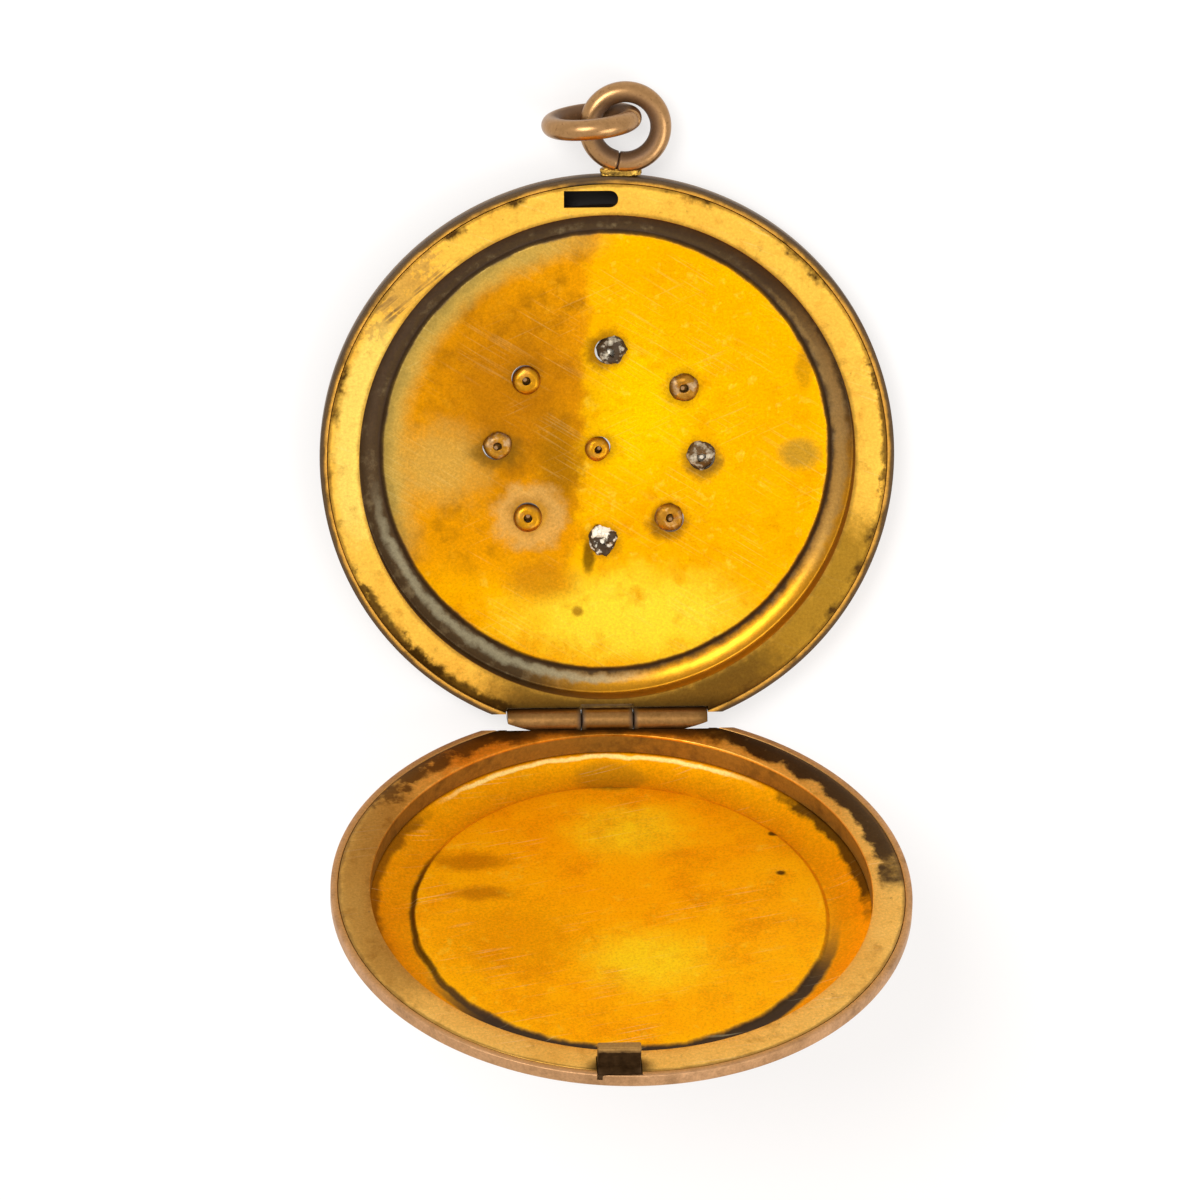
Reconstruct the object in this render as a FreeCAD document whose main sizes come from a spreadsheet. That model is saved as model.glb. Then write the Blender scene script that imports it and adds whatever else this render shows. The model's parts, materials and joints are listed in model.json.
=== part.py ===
import FreeCAD, Part
import math
import os
import re
import Sketcher
from FreeCAD import Placement, Rotation, Vector

# A round hinged locket, lying open on its front cover.
# The frame: the origin is at the middle of the front cover's rest land, +Z up out of the open
# cover, +Y towards the bail and the catch, the hinge along X on the -Y side.
# Each half is drawn about its own mating face: local z = 0 is the flat face of its rim. The front
# half's depth goes down from there and the back half, drawn shut, has its depth going up.

DIMENSIONS = {
    # covers: pressed sheet, with a straight side, a domed shoulder and a raised disc inside
    "cover_radius": 14.3,
    "half_depth": 2.1,
    "sheet_gauge": 0.35,
    "mating_gap": 0.04,
    "solder_gap": 0.02,
    "floor_depth": 1.56,
    "disc_step": 0.19,
    "step_width": 0.2,
    "groove_width": 0.2,
    "land_width": 0.4,
    "land_inset": 0.1,
    "foot_ledge": 0.05,
    "front_side": 0.95,
    "front_foot": 1.35,
    "front_cove_width": 1.25,
    "front_shoulder": 3.74,
    "front_inner_shoulder": 1.62,
    "front_cove": 1.29,
    "back_side": 0.6,
    "back_foot": 1.15,
    "back_cove_width": 2.25,
    "back_shoulder": 5.28,
    "back_inner_shoulder": 3.15,
    "back_cove": 3.81,
    # rims: an L-section ring soldered inside each cover's edge
    "rim_width": 1.6,
    "rim_plate": 0.3,
    "rim_wall": 0.3,
    # hinge: three knuckles on one pin, in a trough filed across both rims
    "hinge_inset": 0.85,
    "front_hinge_flat": 1.23,
    "back_hinge_flat": 1.5,
    "flat_reach": 1.0,
    "hinge_length": 10.0,
    "knuckle_radius": 0.65,
    "knuckle_clearance": 0.05,
    "knuckle_gap": 0.05,
    "centre_knuckle": 2.54,
    "centre_relief": 0.2,
    "pin_radius": 0.3,
    "pin_clearance": 0.03,
    "leaf_gauge": 0.28,
    "leaf_clearance": 0.03,
    # catch: a tongue on the back rim that drops through a slot in the front rim
    "catch_offset": -0.85,
    "slot_length": 2.7,
    "slot_width": 0.85,
    "slot_margin": 0.1,
    "tongue_width": 2.1,
    "tongue_gauge": 0.45,
    "tongue_height": 1.05,
    "tongue_margin": 0.2,
    "tongue_lip": 0.1,
    "lip_rise": 0.2,
    "foot_gauge": 0.28,
    "foot_clearance": 0.05,
    "foot_setback": 0.15,
    # bail: a ring soldered to the front cover's edge on a saddle of solder
    "bail_radius": 2.3,
    "bail_wire": 0.53,
    "bail_offset": 0.85,
    "bail_drop": 0.37,
    "bail_seam": 1.6,
    "saddle_web": 0.14,
    "saddle_width": 2.2,
    "saddle_top": 0.03,
    "saddle_height": 0.95,
    "saddle_reach": 0.45,
    "saddle_shift": -0.2,
    # jump ring: stands on edge through the bail
    "jump_radius": 2.5,
    "jump_wire": 0.525,
    "jump_clearance": 0.12,
    "jump_turn": 5.7,
    "jump_seam": 1.5,
    "jump_level": 0.45,
    # stone cups: turned collets through the front cover, each with a stone in its mouth
    "stone_circle": 5.15,
    "stone_group_x": -0.33,
    "stone_group_y": 0.2,
    "cup_radius": 0.7,
    "centre_cup_radius": 0.6,
    "cup_height": 0.35,
    "cup_hole": 0.28,
    "cup_gauge": 0.2,
    "cup_crown": 0.28,
    "crown_round": 0.26,
    "crown_gauge": 0.12,
    "cup_recess": 0.1,
    "stone_clearance": 0.02,
    "stone_table": 0.15,
    "stone_crown": 0.1,
    "stone_girdle": 0.06,
    "culet_radius": 0.1,
    "culet_drop": 0.2,
    # how far the back half stands open
    "opening_angle": 113.7,
}

# The eight outer cups are spaced by eye: degrees that each is off its even place, from the bail
# end round past +X.
CUP_OFFSETS = (-5, -9, -6, -1, 2, -1, -1, 1)
# How far each is inside the circle, in mm.
CUP_INSETS = (0.2, 0, 0, 0, 0.35, 0.2, 0, 0)
EVEN_SPACING = 45
BAIL_SEAM_AT = -102

# Distances that several pieces share, as sums of the sizes above.
WALL_INNER = "cover_radius - sheet_gauge"
RIM_INNER = WALL_INNER + " - rim_width"
FOOT_OUTER = RIM_INNER + " + rim_wall"
SLOT_INNER = FOOT_OUTER + " + slot_margin"
HINGE_Y = "- cover_radius + hinge_inset"
FRONT = -1
BACK = 1

doc = FreeCAD.newDocument("locket")
sizes = doc.addObject("Spreadsheet::Sheet", "sizes")


def fill_sheet():
    for row, (name, number) in enumerate(DIMENSIONS.items(), start=1):
        sizes.set(f"A{row}", name)
        sizes.set(f"B{row}", str(number))
        sizes.setAlias(f"B{row}", name)
    doc.recompute()


def size(name):
    return float(getattr(sizes, name))


def total(text):
    """The value of a sum of sizes, such as "cover_radius - sheet_gauge"."""
    amount = 0.0
    sign = 1
    for word in text.split():
        if word in "+-":
            sign = -1 if word == "-" else 1
        else:
            amount += sign * (size(word) if word in DIMENSIONS else float(word))
            sign = 1
    return amount


def bound(text):
    """The same text as an expression on the sheet."""
    return re.sub(r"[a-z]\w+", lambda found: "sizes." + found.group(), text)


def bind(thing, prop, text):
    thing.setExpression(prop, bound(text))


def origin_plane(body, role):
    return next(part for part in body.Origin.OriginFeatures if part.Role == role)


def arc_between(start, end, radius):
    """An arc from start to end that bulges away from the locket's axis, drawn anticlockwise."""
    chord = end - start
    across = Vector(-chord.y, chord.x, 0)
    if across.x < 0:
        across = -across
    across.normalize()
    half = chord.Length / 2
    centre = (start + end) * 0.5 - across * math.sqrt(radius * radius - half * half)
    spokes = (start - centre, end - centre)
    angles = sorted(math.atan2(spoke.y, spoke.x) for spoke in spokes)
    return Part.ArcOfCircle(Part.Circle(centre, Vector(0, 0, 1), radius), angles[0], angles[1])


def end_at(sketch, index, point):
    """Which end of an edge is at the point: 1 for its start, 2 for its end."""
    edge = sketch.Geometry[index]
    nearer_start = edge.StartPoint.distanceToPoint(point) < edge.EndPoint.distanceToPoint(point)
    return 1 if nearer_start else 2


def fix_coordinate(sketch, kind, edge, end, text, sign):
    """Ties one coordinate of an edge's end to the sheet, or to the axis where it is 0."""
    if text == "0":
        axis = -2 if kind == "DistanceX" else -1
        sketch.addConstraint(Sketcher.Constraint("PointOnObject", edge, end, axis))
        return
    number = sketch.addConstraint(Sketcher.Constraint(kind, -1, 1, edge, end, sign * total(text)))
    expression = bound(text) if sign > 0 else "-(" + bound(text) + ")"
    sketch.setExpression(f"Constraints[{number}]", expression)


def outline(body, plane, corners, side):
    """A closed sketch. A corner is its place across, its depth and, for an arc to the next
    corner, the name of the arc's radius."""
    sketch = body.newObject("Sketcher::SketchObject", body.Name + "_outline")
    sketch.AttachmentSupport = [(origin_plane(body, plane), "")]
    sketch.MapMode = "FlatFace"
    points = [Vector(total(corner[0]), side * total(corner[1]), 0) for corner in corners]
    for index, corner in enumerate(corners):
        start = points[index]
        end = points[(index + 1) % len(points)]
        if len(corner) == 3:
            sketch.addGeometry(arc_between(start, end, size(corner[2])))
        else:
            sketch.addGeometry(Part.LineSegment(start, end))
    for index, corner in enumerate(corners):
        before = (index - 1) % len(corners)
        this_end = end_at(sketch, index, points[index])
        that_end = end_at(sketch, before, points[index])
        sketch.addConstraint(Sketcher.Constraint("Coincident", index, this_end, before, that_end))
        fix_coordinate(sketch, "DistanceX", index, this_end, corner[0], 1)
        fix_coordinate(sketch, "DistanceY", index, this_end, corner[1], side)
        if len(corner) == 3:
            number = sketch.addConstraint(Sketcher.Constraint("Radius", index, size(corner[2])))
            sketch.setExpression(f"Constraints[{number}]", bound(corner[2]))
    return sketch


def turned(name, corners, side):
    """A body made by turning an outline about Z."""
    body = doc.addObject("PartDesign::Body", name)
    sketch = outline(body, "XZ_Plane", corners, side)
    turn = body.newObject("PartDesign::Revolution", name + "_turning")
    turn.Profile = sketch
    turn.ReferenceAxis = (sketch, ["V_Axis"])
    turn.Angle = 360
    return body


def box(name, low, high):
    block = doc.addObject("Part::Box", name)
    for prop, axis, start, end in zip(("Length", "Width", "Height"), "xyz", low, high):
        bind(block, prop, f"({end}) - ({start})")
        bind(block, "Placement.Base." + axis, start)
    return block


def upright_cylinder(name, radius, low, high):
    post = doc.addObject("Part::Cylinder", name)
    bind(post, "Radius", radius)
    bind(post, "Height", f"({high}) - ({low})")
    bind(post, "Placement.Base.z", low)
    return post


def hinge_cylinder(name, radius, low, high, side):
    """A cylinder on the hinge line, from low to high along X."""
    rod = doc.addObject("Part::Cylinder", name)
    rod.Placement = Placement(Vector(), Rotation(Vector(0, 1, 0), 90))
    bind(rod, "Radius", radius)
    bind(rod, "Height", f"({high}) - ({low})")
    bind(rod, "Placement.Base.x", low)
    bind(rod, "Placement.Base.y", HINGE_Y)
    bind(rod, "Placement.Base.z", f"{-side} * mating_gap / 2")
    return rod


def joined(name, pieces):
    if len(pieces) == 1:
        return pieces[0]
    union = doc.addObject("Part::MultiFuse", name)
    union.Shapes = pieces
    return union


def cut(name, blank, cutters):
    piece = doc.addObject("Part::Cut", name)
    piece.Base = blank
    piece.Tool = joined(name + "_cutters", cutters)
    return piece


def common(name, blank, limit):
    piece = doc.addObject("Part::Common", name)
    piece.Base = blank
    piece.Tool = limit
    return piece


def cover_outline(half):
    """A pressed cover: inside from the axis out to the edge, then back along the outside."""
    disc = f"{RIM_INNER} - {half}_cove_width"
    land_start = disc + " + land_inset"
    return [
        ("0", "floor_depth"),
        (disc, "floor_depth"),
        (disc + " + step_width", "floor_depth + disc_step"),
        (disc + " + step_width + groove_width", "floor_depth + disc_step", half + "_cove"),
        (RIM_INNER + " - foot_ledge", half + "_foot"),
        (FOOT_OUTER, half + "_foot", half + "_inner_shoulder"),
        (WALL_INNER, half + "_side"),
        (WALL_INNER, "0"),
        ("cover_radius", "0"),
        ("cover_radius", half + "_side", half + "_shoulder"),
        (land_start + " + land_width", "half_depth"),
        (land_start, "half_depth"),
        (disc, "floor_depth + sheet_gauge"),
        ("0", "floor_depth + sheet_gauge"),
    ]


def rim_outline(half):
    """An L-section ring: a flat plate level with the cover's edge and a wall down to its foot."""
    return [
        (RIM_INNER, "0"),
        (WALL_INNER + " - solder_gap", "0"),
        (WALL_INNER + " - solder_gap", "rim_plate"),
        (FOOT_OUTER, "rim_plate"),
        (FOOT_OUTER, half + "_foot - solder_gap"),
        (RIM_INNER, half + "_foot - solder_gap"),
    ]


def bearer_outline(half):
    """The filling between rim and cover that carries the hinge."""
    return [
        (FOOT_OUTER + " + solder_gap", "rim_plate + solder_gap"),
        (WALL_INNER + " - solder_gap", "rim_plate + solder_gap"),
        (WALL_INNER + " - solder_gap", half + "_side"),
        (FOOT_OUTER + " + solder_gap", half + "_foot - solder_gap"),
    ]


def hinge_cutters(half, side):
    """The flat across a half's hinge side and the trough that its knuckles lie in."""
    flat = box(
        half + "_flat",
        ("- cover_radius", "- cover_radius - flat_reach", "- 2 * half_depth"),
        ("cover_radius", f"- cover_radius + {half}_hinge_flat", "2 * half_depth"),
    )
    reach = "hinge_length / 2 + knuckle_gap"
    trough = hinge_cylinder(
        half + "_trough", "knuckle_radius + knuckle_clearance", f"-({reach})", reach, side
    )
    return [flat, trough]


def centre_trough():
    """The wider trough in the front half, where the back half's knuckle turns."""
    reach = "centre_knuckle / 2 + knuckle_gap"
    radius = "knuckle_radius + centre_relief"
    return hinge_cylinder("centre_trough", radius, f"-({reach})", reach, FRONT)


def cup_holes():
    """Cutters for the nine holes in the front cover."""
    holes = []
    for name, radius, place in cup_places():
        hole = upright_cylinder("hole_for_" + name, radius + " + solder_gap", "- 2 * half_depth", "0")
        hole.Placement.Base = Vector(place.x, place.y, hole.Placement.Base.z)
        holes.append(hole)
    return holes


def cup_places():
    """Each cup's name, the size that holds its radius, and where it stands."""
    middle = Vector(size("stone_group_x"), size("stone_group_y"), 0)
    places = [("centre", "centre_cup_radius", middle)]
    for number, (offset, inset) in enumerate(zip(CUP_OFFSETS, CUP_INSETS)):
        angle = math.radians(90 - EVEN_SPACING * number + offset)
        spoke = Vector(math.cos(angle), math.sin(angle), 0) * (size("stone_circle") - inset)
        places.append((str(number + 1), "cup_radius", middle + spoke))
    return places


def slot_cutters():
    """The catch's slot in the front rim: square at its -X end, round at its +X end."""
    end = "catch_offset + slot_length / 2 - slot_width / 2"
    straight = box(
        "slot_straight",
        ("catch_offset - slot_length / 2", SLOT_INNER, "- half_depth"),
        (end, SLOT_INNER + " + slot_width", "half_depth"),
    )
    rounded = upright_cylinder("slot_end", "slot_width / 2", "- half_depth", "half_depth")
    bind(rounded, "Placement.Base.x", end)
    bind(rounded, "Placement.Base.y", SLOT_INNER + " + slot_width / 2")
    return [straight, rounded]


def tongue_notch():
    """The notch in the back half's rim and edge that the catch tongue's foot is sunk in."""
    reach = "tongue_width / 2 + foot_clearance"
    return box(
        "tongue_notch",
        (f"catch_offset - ({reach})", SLOT_INNER, "- half_depth"),
        (f"catch_offset + {reach}", "cover_radius - foot_setback + foot_clearance", "rim_plate"),
    )


def leaf_notch():
    """The notch in the back rim that the centre knuckle's leaf is sunk in."""
    reach = "centre_knuckle / 2 + leaf_clearance"
    return box(
        "leaf_notch",
        (f"-({reach})", "- cover_radius", "- half_depth"),
        (reach, f"-({SLOT_INNER})", "rim_plate"),
    )


def hinge_bearer(half, cutters, side):
    ring = turned(half + "_bearer_ring", bearer_outline(half), side)
    block = box(
        half + "_bearer_block",
        ("- hinge_length / 2", "- cover_radius", "- 2 * half_depth"),
        ("hinge_length / 2", "0", "2 * half_depth"),
    )
    crescent = common(half + "_bearer_blank", ring, block)
    return cut(half + "_hinge_bearer", crescent, cutters)


def filed(name, blank):
    """Files a hinge piece's ends to the covers' outside."""
    limit = upright_cylinder(name + "_limit", "cover_radius", "- half_depth", "half_depth")
    return common(name, blank, limit)


def side_knuckle(name, low, high):
    tube = hinge_cylinder(name + "_tube", "knuckle_radius", low, high, FRONT)
    bore = hinge_cylinder(name + "_bore", "pin_radius + pin_clearance", low, high, FRONT)
    return filed(name, cut(name + "_blank", tube, [bore]))


def front_half():
    cutters = hinge_cutters("front", FRONT) + [centre_trough()]
    cover = turned("front_cover_blank", cover_outline("front"), FRONT)
    rim = turned("front_rim_blank", rim_outline("front"), FRONT)
    inner_end = "centre_knuckle / 2 + knuckle_gap"
    outer_end = "hinge_length / 2"
    pin = hinge_cylinder("pin_blank", "pin_radius", f"-({outer_end})", outer_end, FRONT)
    return [
        cut("front_cover", cover, cutters + cup_holes()),
        cut("front_rim", rim, cutters + slot_cutters()),
        hinge_bearer("front", cutters, FRONT),
        side_knuckle("left_hinge_knuckle", f"-({outer_end})", f"-({inner_end})"),
        side_knuckle("right_hinge_knuckle", inner_end, outer_end),
        filed("hinge_pin", pin),
    ]


def centre_knuckle():
    """The back half's knuckle, with a leaf that lies in the back rim."""
    reach = "centre_knuckle / 2"
    tube = hinge_cylinder("centre_tube", "knuckle_radius", f"-{reach}", reach, BACK)
    leaf = box(
        "centre_leaf",
        (f"-{reach}", HINGE_Y, "0"),
        (reach, f"-({SLOT_INNER} + leaf_clearance)", "leaf_gauge"),
    )
    bore = hinge_cylinder(
        "centre_bore", "pin_radius + pin_clearance", f"-{reach}", reach, BACK
    )
    blank = cut("centre_knuckle_blank", joined("centre_knuckle_sum", [tube, leaf]), [bore])
    return filed("centre_hinge_knuckle", blank)


def catch_tongue():
    """A strip bent up from the back rim, with a small lip that faces outwards at its tip."""
    inner = SLOT_INNER + " + tongue_margin"
    outer = inner + " + tongue_gauge"
    body = doc.addObject("PartDesign::Body", "catch_tongue")
    corners = [
        (SLOT_INNER + " + foot_clearance", "0"),
        (inner, "0"),
        (inner, "- tongue_height"),
        (outer, "- tongue_height"),
        (outer + " + tongue_lip", "- tongue_height + lip_rise"),
        (outer, "- tongue_height + lip_rise + lip_rise"),
        (outer, "0"),
        ("cover_radius - foot_setback", "0"),
        ("cover_radius - foot_setback", "foot_gauge"),
        (SLOT_INNER + " + foot_clearance", "foot_gauge"),
    ]
    sketch = outline(body, "YZ_Plane", corners, 1)
    pad = body.newObject("PartDesign::Pad", "catch_tongue_pad")
    pad.Profile = sketch
    pad.Midplane = True
    bind(pad, "Length", "tongue_width")
    body.Placement.Base = Vector(size("catch_offset"), 0, 0)
    return body


def back_half():
    cutters = hinge_cutters("back", BACK)
    cover = turned("back_cover_blank", cover_outline("back"), BACK)
    rim = turned("back_rim_blank", rim_outline("back"), BACK)
    return [
        cut("back_cover", cover, cutters + [tongue_notch()]),
        cut("back_rim", rim, cutters + [tongue_notch(), leaf_notch()]),
        hinge_bearer("back", cutters, BACK),
        centre_knuckle(),
        catch_tongue(),
    ]


def stone_cup(name, radius, place):
    top = "floor_depth - cup_height"
    body = turned(
        "stone_cup_" + name,
        [
            ("cup_hole", top),
            (radius + " - cup_crown", top, "crown_round"),
            (radius, "floor_depth"),
            (radius, "half_depth - cup_recess"),
            (radius + " - cup_gauge", "half_depth - cup_recess"),
            (radius + " - cup_gauge", "floor_depth"),
            ("cup_hole", top + " + crown_gauge"),
        ],
        FRONT,
    )
    body.Placement.Base = place
    return body


def stone(name, radius, place):
    """A brilliant-cut stone held by its girdle, its culet behind the cup's hole."""
    table = "half_depth - cup_recess"
    girdle = radius + " - cup_gauge - stone_clearance"
    body = turned(
        "stone_" + name,
        [
            ("0", table),
            (girdle + " - stone_table", table),
            (girdle, table + " - stone_crown"),
            (girdle, table + " - stone_crown - stone_girdle"),
            ("culet_radius", "floor_depth - cup_height + culet_drop"),
            ("0", "floor_depth - cup_height + culet_drop"),
        ],
        FRONT,
    )
    body.Placement.Base = place
    return body


def stones_and_cups():
    pieces = []
    for name, radius, place in cup_places():
        pieces.append(stone_cup(name, radius, place))
        pieces.append(stone(name, radius, place))
    return pieces


def wire_ring(name, outer, wire, seam, place):
    """A ring of round wire with an open seam, where its two ends meet."""
    ring = doc.addObject("Part::Torus", name)
    bind(ring, "Radius1", f"{outer} - {wire}")
    bind(ring, "Radius2", wire)
    bind(ring, "Angle3", f"360 - {seam}")
    ring.Placement = place
    return ring


def bail_centre():
    height = total("cover_radius + saddle_web + bail_radius")
    return Vector(size("bail_offset"), height, -size("bail_drop"))


def bail_ring():
    """The bail, lying in the covers' plane with its seam beside its foot."""
    place = Placement(bail_centre(), Rotation(Vector(0, 0, 1), BAIL_SEAM_AT))
    return wire_ring("bail_ring", "bail_radius", "bail_wire", "bail_seam", place)


def bail_saddle():
    """Solder between the bail and the front cover's edge, hollowed by both."""
    middle = "bail_offset + saddle_shift"
    block = box(
        "saddle_block",
        (f"{middle} - saddle_width / 2", WALL_INNER, "- saddle_top - saddle_height"),
        (f"{middle} + saddle_width / 2", "cover_radius + saddle_reach", "- saddle_top"),
    )
    edge = upright_cylinder("saddle_edge", "cover_radius + solder_gap", "- 2 * half_depth", "half_depth")
    wire = doc.addObject("Part::Torus", "saddle_wire")
    bind(wire, "Radius1", "bail_radius - bail_wire")
    bind(wire, "Radius2", "bail_wire + solder_gap")
    wire.Placement = Placement(bail_centre(), Rotation())
    return cut("bail_saddle", block, [edge, wire])


def jump_ring():
    """The jump ring, on edge, hanging by the bail's left limb in the bottom of its own hole."""
    level = size("jump_level")
    bail_middle = total("bail_radius - bail_wire")
    limb = bail_centre() + Vector(-math.sqrt(bail_middle ** 2 - level ** 2), level, 0)
    rise = total("jump_radius - jump_wire - jump_wire - bail_wire - jump_clearance")
    turn = math.radians(size("jump_turn"))
    facing = Rotation(Vector(0, 0, 1), Vector(-math.sin(turn), math.cos(turn), 0))
    place = Placement(limb + Vector(0, 0, rise), facing)
    return wire_ring("jump_ring", "jump_radius", "jump_wire", "jump_seam", place)


def lay_out(front_pieces, back_pieces):
    """Sets the front half on its rest land and swings the back half open about the hinge."""
    hinge = Vector(0, total(HINGE_Y), size("half_depth") + size("mating_gap") / 2)
    swing = Placement(Vector(), Rotation(Vector(1, 0, 0), size("opening_angle")), hinge)
    lift_front = Placement(Vector(0, 0, size("half_depth")), Rotation())
    lift_back = Placement(Vector(0, 0, size("half_depth") + size("mating_gap")), Rotation())
    for piece in front_pieces:
        piece.Placement = lift_front * piece.Placement
    for piece in back_pieces:
        piece.Placement = swing * lift_back * piece.Placement


def check(pieces):
    for thing in doc.Objects:
        if "Invalid" in thing.State or "Error" in thing.State:
            raise RuntimeError(f"{thing.Label} failed: {thing.State}")
    for piece in pieces:
        if piece.Shape.isNull() or not piece.Shape.isValid():
            raise RuntimeError(f"{piece.Label} has no valid shape")


def write(pieces):
    os.makedirs("parts", exist_ok=True)
    for piece in pieces:
        piece.Shape.exportStep(f"parts/{piece.Label}.step")


fill_sheet()
front_pieces = front_half() + stones_and_cups() + [bail_ring(), bail_saddle(), jump_ring()]
back_pieces = back_half()
lay_out(front_pieces, back_pieces)
doc.recompute()
check(front_pieces + back_pieces)
write(front_pieces + back_pieces)
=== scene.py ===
import bmesh
import bpy
import json
import math
from mathutils import Matrix, Vector, noise


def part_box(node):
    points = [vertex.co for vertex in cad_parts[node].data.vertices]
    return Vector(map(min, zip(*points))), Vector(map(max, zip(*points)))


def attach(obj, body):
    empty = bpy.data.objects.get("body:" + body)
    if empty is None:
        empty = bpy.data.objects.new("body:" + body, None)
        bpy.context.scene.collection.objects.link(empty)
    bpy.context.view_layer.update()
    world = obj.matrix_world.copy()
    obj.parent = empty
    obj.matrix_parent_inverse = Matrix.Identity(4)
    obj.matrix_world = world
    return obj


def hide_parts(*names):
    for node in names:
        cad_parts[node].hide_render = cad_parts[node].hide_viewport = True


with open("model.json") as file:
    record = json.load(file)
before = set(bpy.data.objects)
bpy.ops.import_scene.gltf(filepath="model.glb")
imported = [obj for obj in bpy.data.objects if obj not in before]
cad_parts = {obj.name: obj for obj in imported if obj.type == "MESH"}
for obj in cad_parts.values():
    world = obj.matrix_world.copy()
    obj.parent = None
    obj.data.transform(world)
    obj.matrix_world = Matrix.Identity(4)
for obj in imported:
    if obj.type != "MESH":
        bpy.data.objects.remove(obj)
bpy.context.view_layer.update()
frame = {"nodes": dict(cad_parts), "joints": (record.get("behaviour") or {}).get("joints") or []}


# ---------------------------------------------------------------- the table and the light
# White paper under a soft overhead light. The camera and the shine of the gold see a white
# surround; the light on matt dirt comes from a room that is dim near the horizon.

def tint(text):
    """An sRGB hex value as a linear colour."""
    parts = [int(text[i:i + 2], 16) / 255 for i in (0, 2, 4)]
    linear = [p / 12.92 if p <= 0.04045 else ((p + 0.055) / 1.055) ** 2.4 for p in parts]
    return (*linear, 1.0)


def put(tree, kind, inputs=None, **settings):
    """Adds a node, a shader's unless its kind says Node, with its settings and links.

    A node given as an input stands for its first output."""
    node = tree.nodes.new(kind if "Node" in kind else "ShaderNode" + kind)
    for name, value in settings.items():
        setattr(node, name, value)
    for name, value in (inputs or {}).items():
        if isinstance(value, bpy.types.Node):
            value = value.outputs[0]
        if isinstance(value, bpy.types.NodeSocket):
            tree.links.new(value, node.inputs[name])
        else:
            node.inputs[name].default_value = value
    return node


def new_material(name):
    material = bpy.data.materials.new(name)
    material.use_nodes = True
    material.node_tree.nodes.clear()
    return material, material.node_tree


def plainly_seen(tree):
    """1 for a ray from the camera, off metal or through glass, which sees a white surround."""
    ray = put(tree, "LightPath").outputs
    direct = put(tree, "Math", {0: ray["Is Camera Ray"], 1: ray["Is Glossy Ray"]},
                 operation="MAXIMUM")
    return put(tree, "Math", {0: direct, 1: ray["Is Transmission Ray"]}, operation="MAXIMUM")


scene = bpy.context.scene
scene.view_settings.view_transform = "Standard"

PAPER_REACH = 0.6
PAPER_GLOW = 0.62
ROOM_ZENITH = 1.0
ROOM_HORIZON = 0.16

table_mesh = bpy.data.meshes.new("table")
table_mesh.from_pydata([(PAPER_REACH * x, PAPER_REACH * y, 0)
                        for x, y in ((-1, -1), (1, -1), (1, 1), (-1, 1))], [], [(0, 1, 2, 3)])
table = bpy.data.objects.new("table", table_mesh)
scene.collection.objects.link(table)

white_paper, tree = new_material("white_paper")
paper = put(tree, "BsdfDiffuse", {"Color": tint("f6f3f1")})
glow = put(tree, "Emission", {"Color": tint("ffffff"), "Strength": 1.0})
share = put(tree, "Math", {0: plainly_seen(tree), 1: PAPER_GLOW}, operation="MULTIPLY")
both = put(tree, "MixShader", {0: share, 1: paper, 2: glow})
put(tree, "OutputMaterial", {"Surface": both})
table_mesh.materials.append(white_paper)

world = bpy.data.worlds.new("room")
scene.world = world
world.use_nodes = True
tree = world.node_tree
tree.nodes.clear()
where = put(tree, "TexCoord")
height = put(tree, "SeparateXYZ", {0: where.outputs["Generated"]})
rise = put(tree, "MapRange",
           {"Value": height.outputs["Z"], "From Min": 0.15, "From Max": 0.8,
            "To Min": ROOM_HORIZON, "To Max": ROOM_ZENITH},
           interpolation_type="SMOOTHSTEP")
seen = put(tree, "Mix", {"Factor": plainly_seen(tree), "A": rise, "B": 1.0})
sky = put(tree, "Background", {"Color": tint("fffaf5"), "Strength": seen})
put(tree, "OutputWorld", {"Surface": sky})


def lamp(name, place, width, power):
    data = bpy.data.lights.new(name, "AREA")
    data.shape = "DISK"
    data.size = width
    data.energy = power
    light = bpy.data.objects.new(name, data)
    scene.collection.objects.link(light)
    facing = (Vector((0, -0.006, 0.004)) - Vector(place)).to_track_quat("-Z", "Y")
    light.matrix_world = Matrix.Translation(place) @ facing.to_matrix().to_4x4()


lamp("softbox", (-0.22, 0.25, 0.55), 0.30, 2.2)
lamp("fill", (0.35, -0.2, 0.45), 0.35, 1.0)


# ---------------------------------------------------------------- the camera
# It looks down from the bail's side, a little off the front cover's square.

MM = 0.001
LOOK_FROM = Vector((-0.0575, 0.2392, 0.9693)).normalized()
CAMERA_ROLL = math.radians(0.69)
CAMERA_LENS = 362.0
CAMERA_AWAY = 0.6
RIGHT_OF_COVER = 0.379 * MM
ABOVE_COVER = 7.037 * MM

mating_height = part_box("front_cover")[1].z
level = (Vector((1, 0, 0)) - LOOK_FROM * LOOK_FROM.x).normalized()
upright = LOOK_FROM.cross(level)
across = level * math.cos(CAMERA_ROLL) - upright * math.sin(CAMERA_ROLL)
upwards = LOOK_FROM.cross(across)
aim = Vector((0, 0, mating_height)) - across * RIGHT_OF_COVER - upwards * ABOVE_COVER
camera_data = bpy.data.cameras.new("camera")
camera_data.lens = CAMERA_LENS
camera_data.clip_start = 0.05
camera = bpy.data.objects.new("camera", camera_data)
scene.collection.objects.link(camera)
facing = Matrix((across, upwards, LOOK_FROM)).transposed().to_4x4()
camera.matrix_world = Matrix.Translation(aim + LOOK_FROM * CAMERA_AWAY) @ facing
scene.camera = camera


# ---------------------------------------------------------------- the front cover
# A dish of gold-filled brass sheet, struck in a die: a straight side, a domed shoulder and a
# raised disc inside. Each half is made face up about its own mating face, in mm, with the
# hinge or the bail at +Y, and then set in its place.

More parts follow.
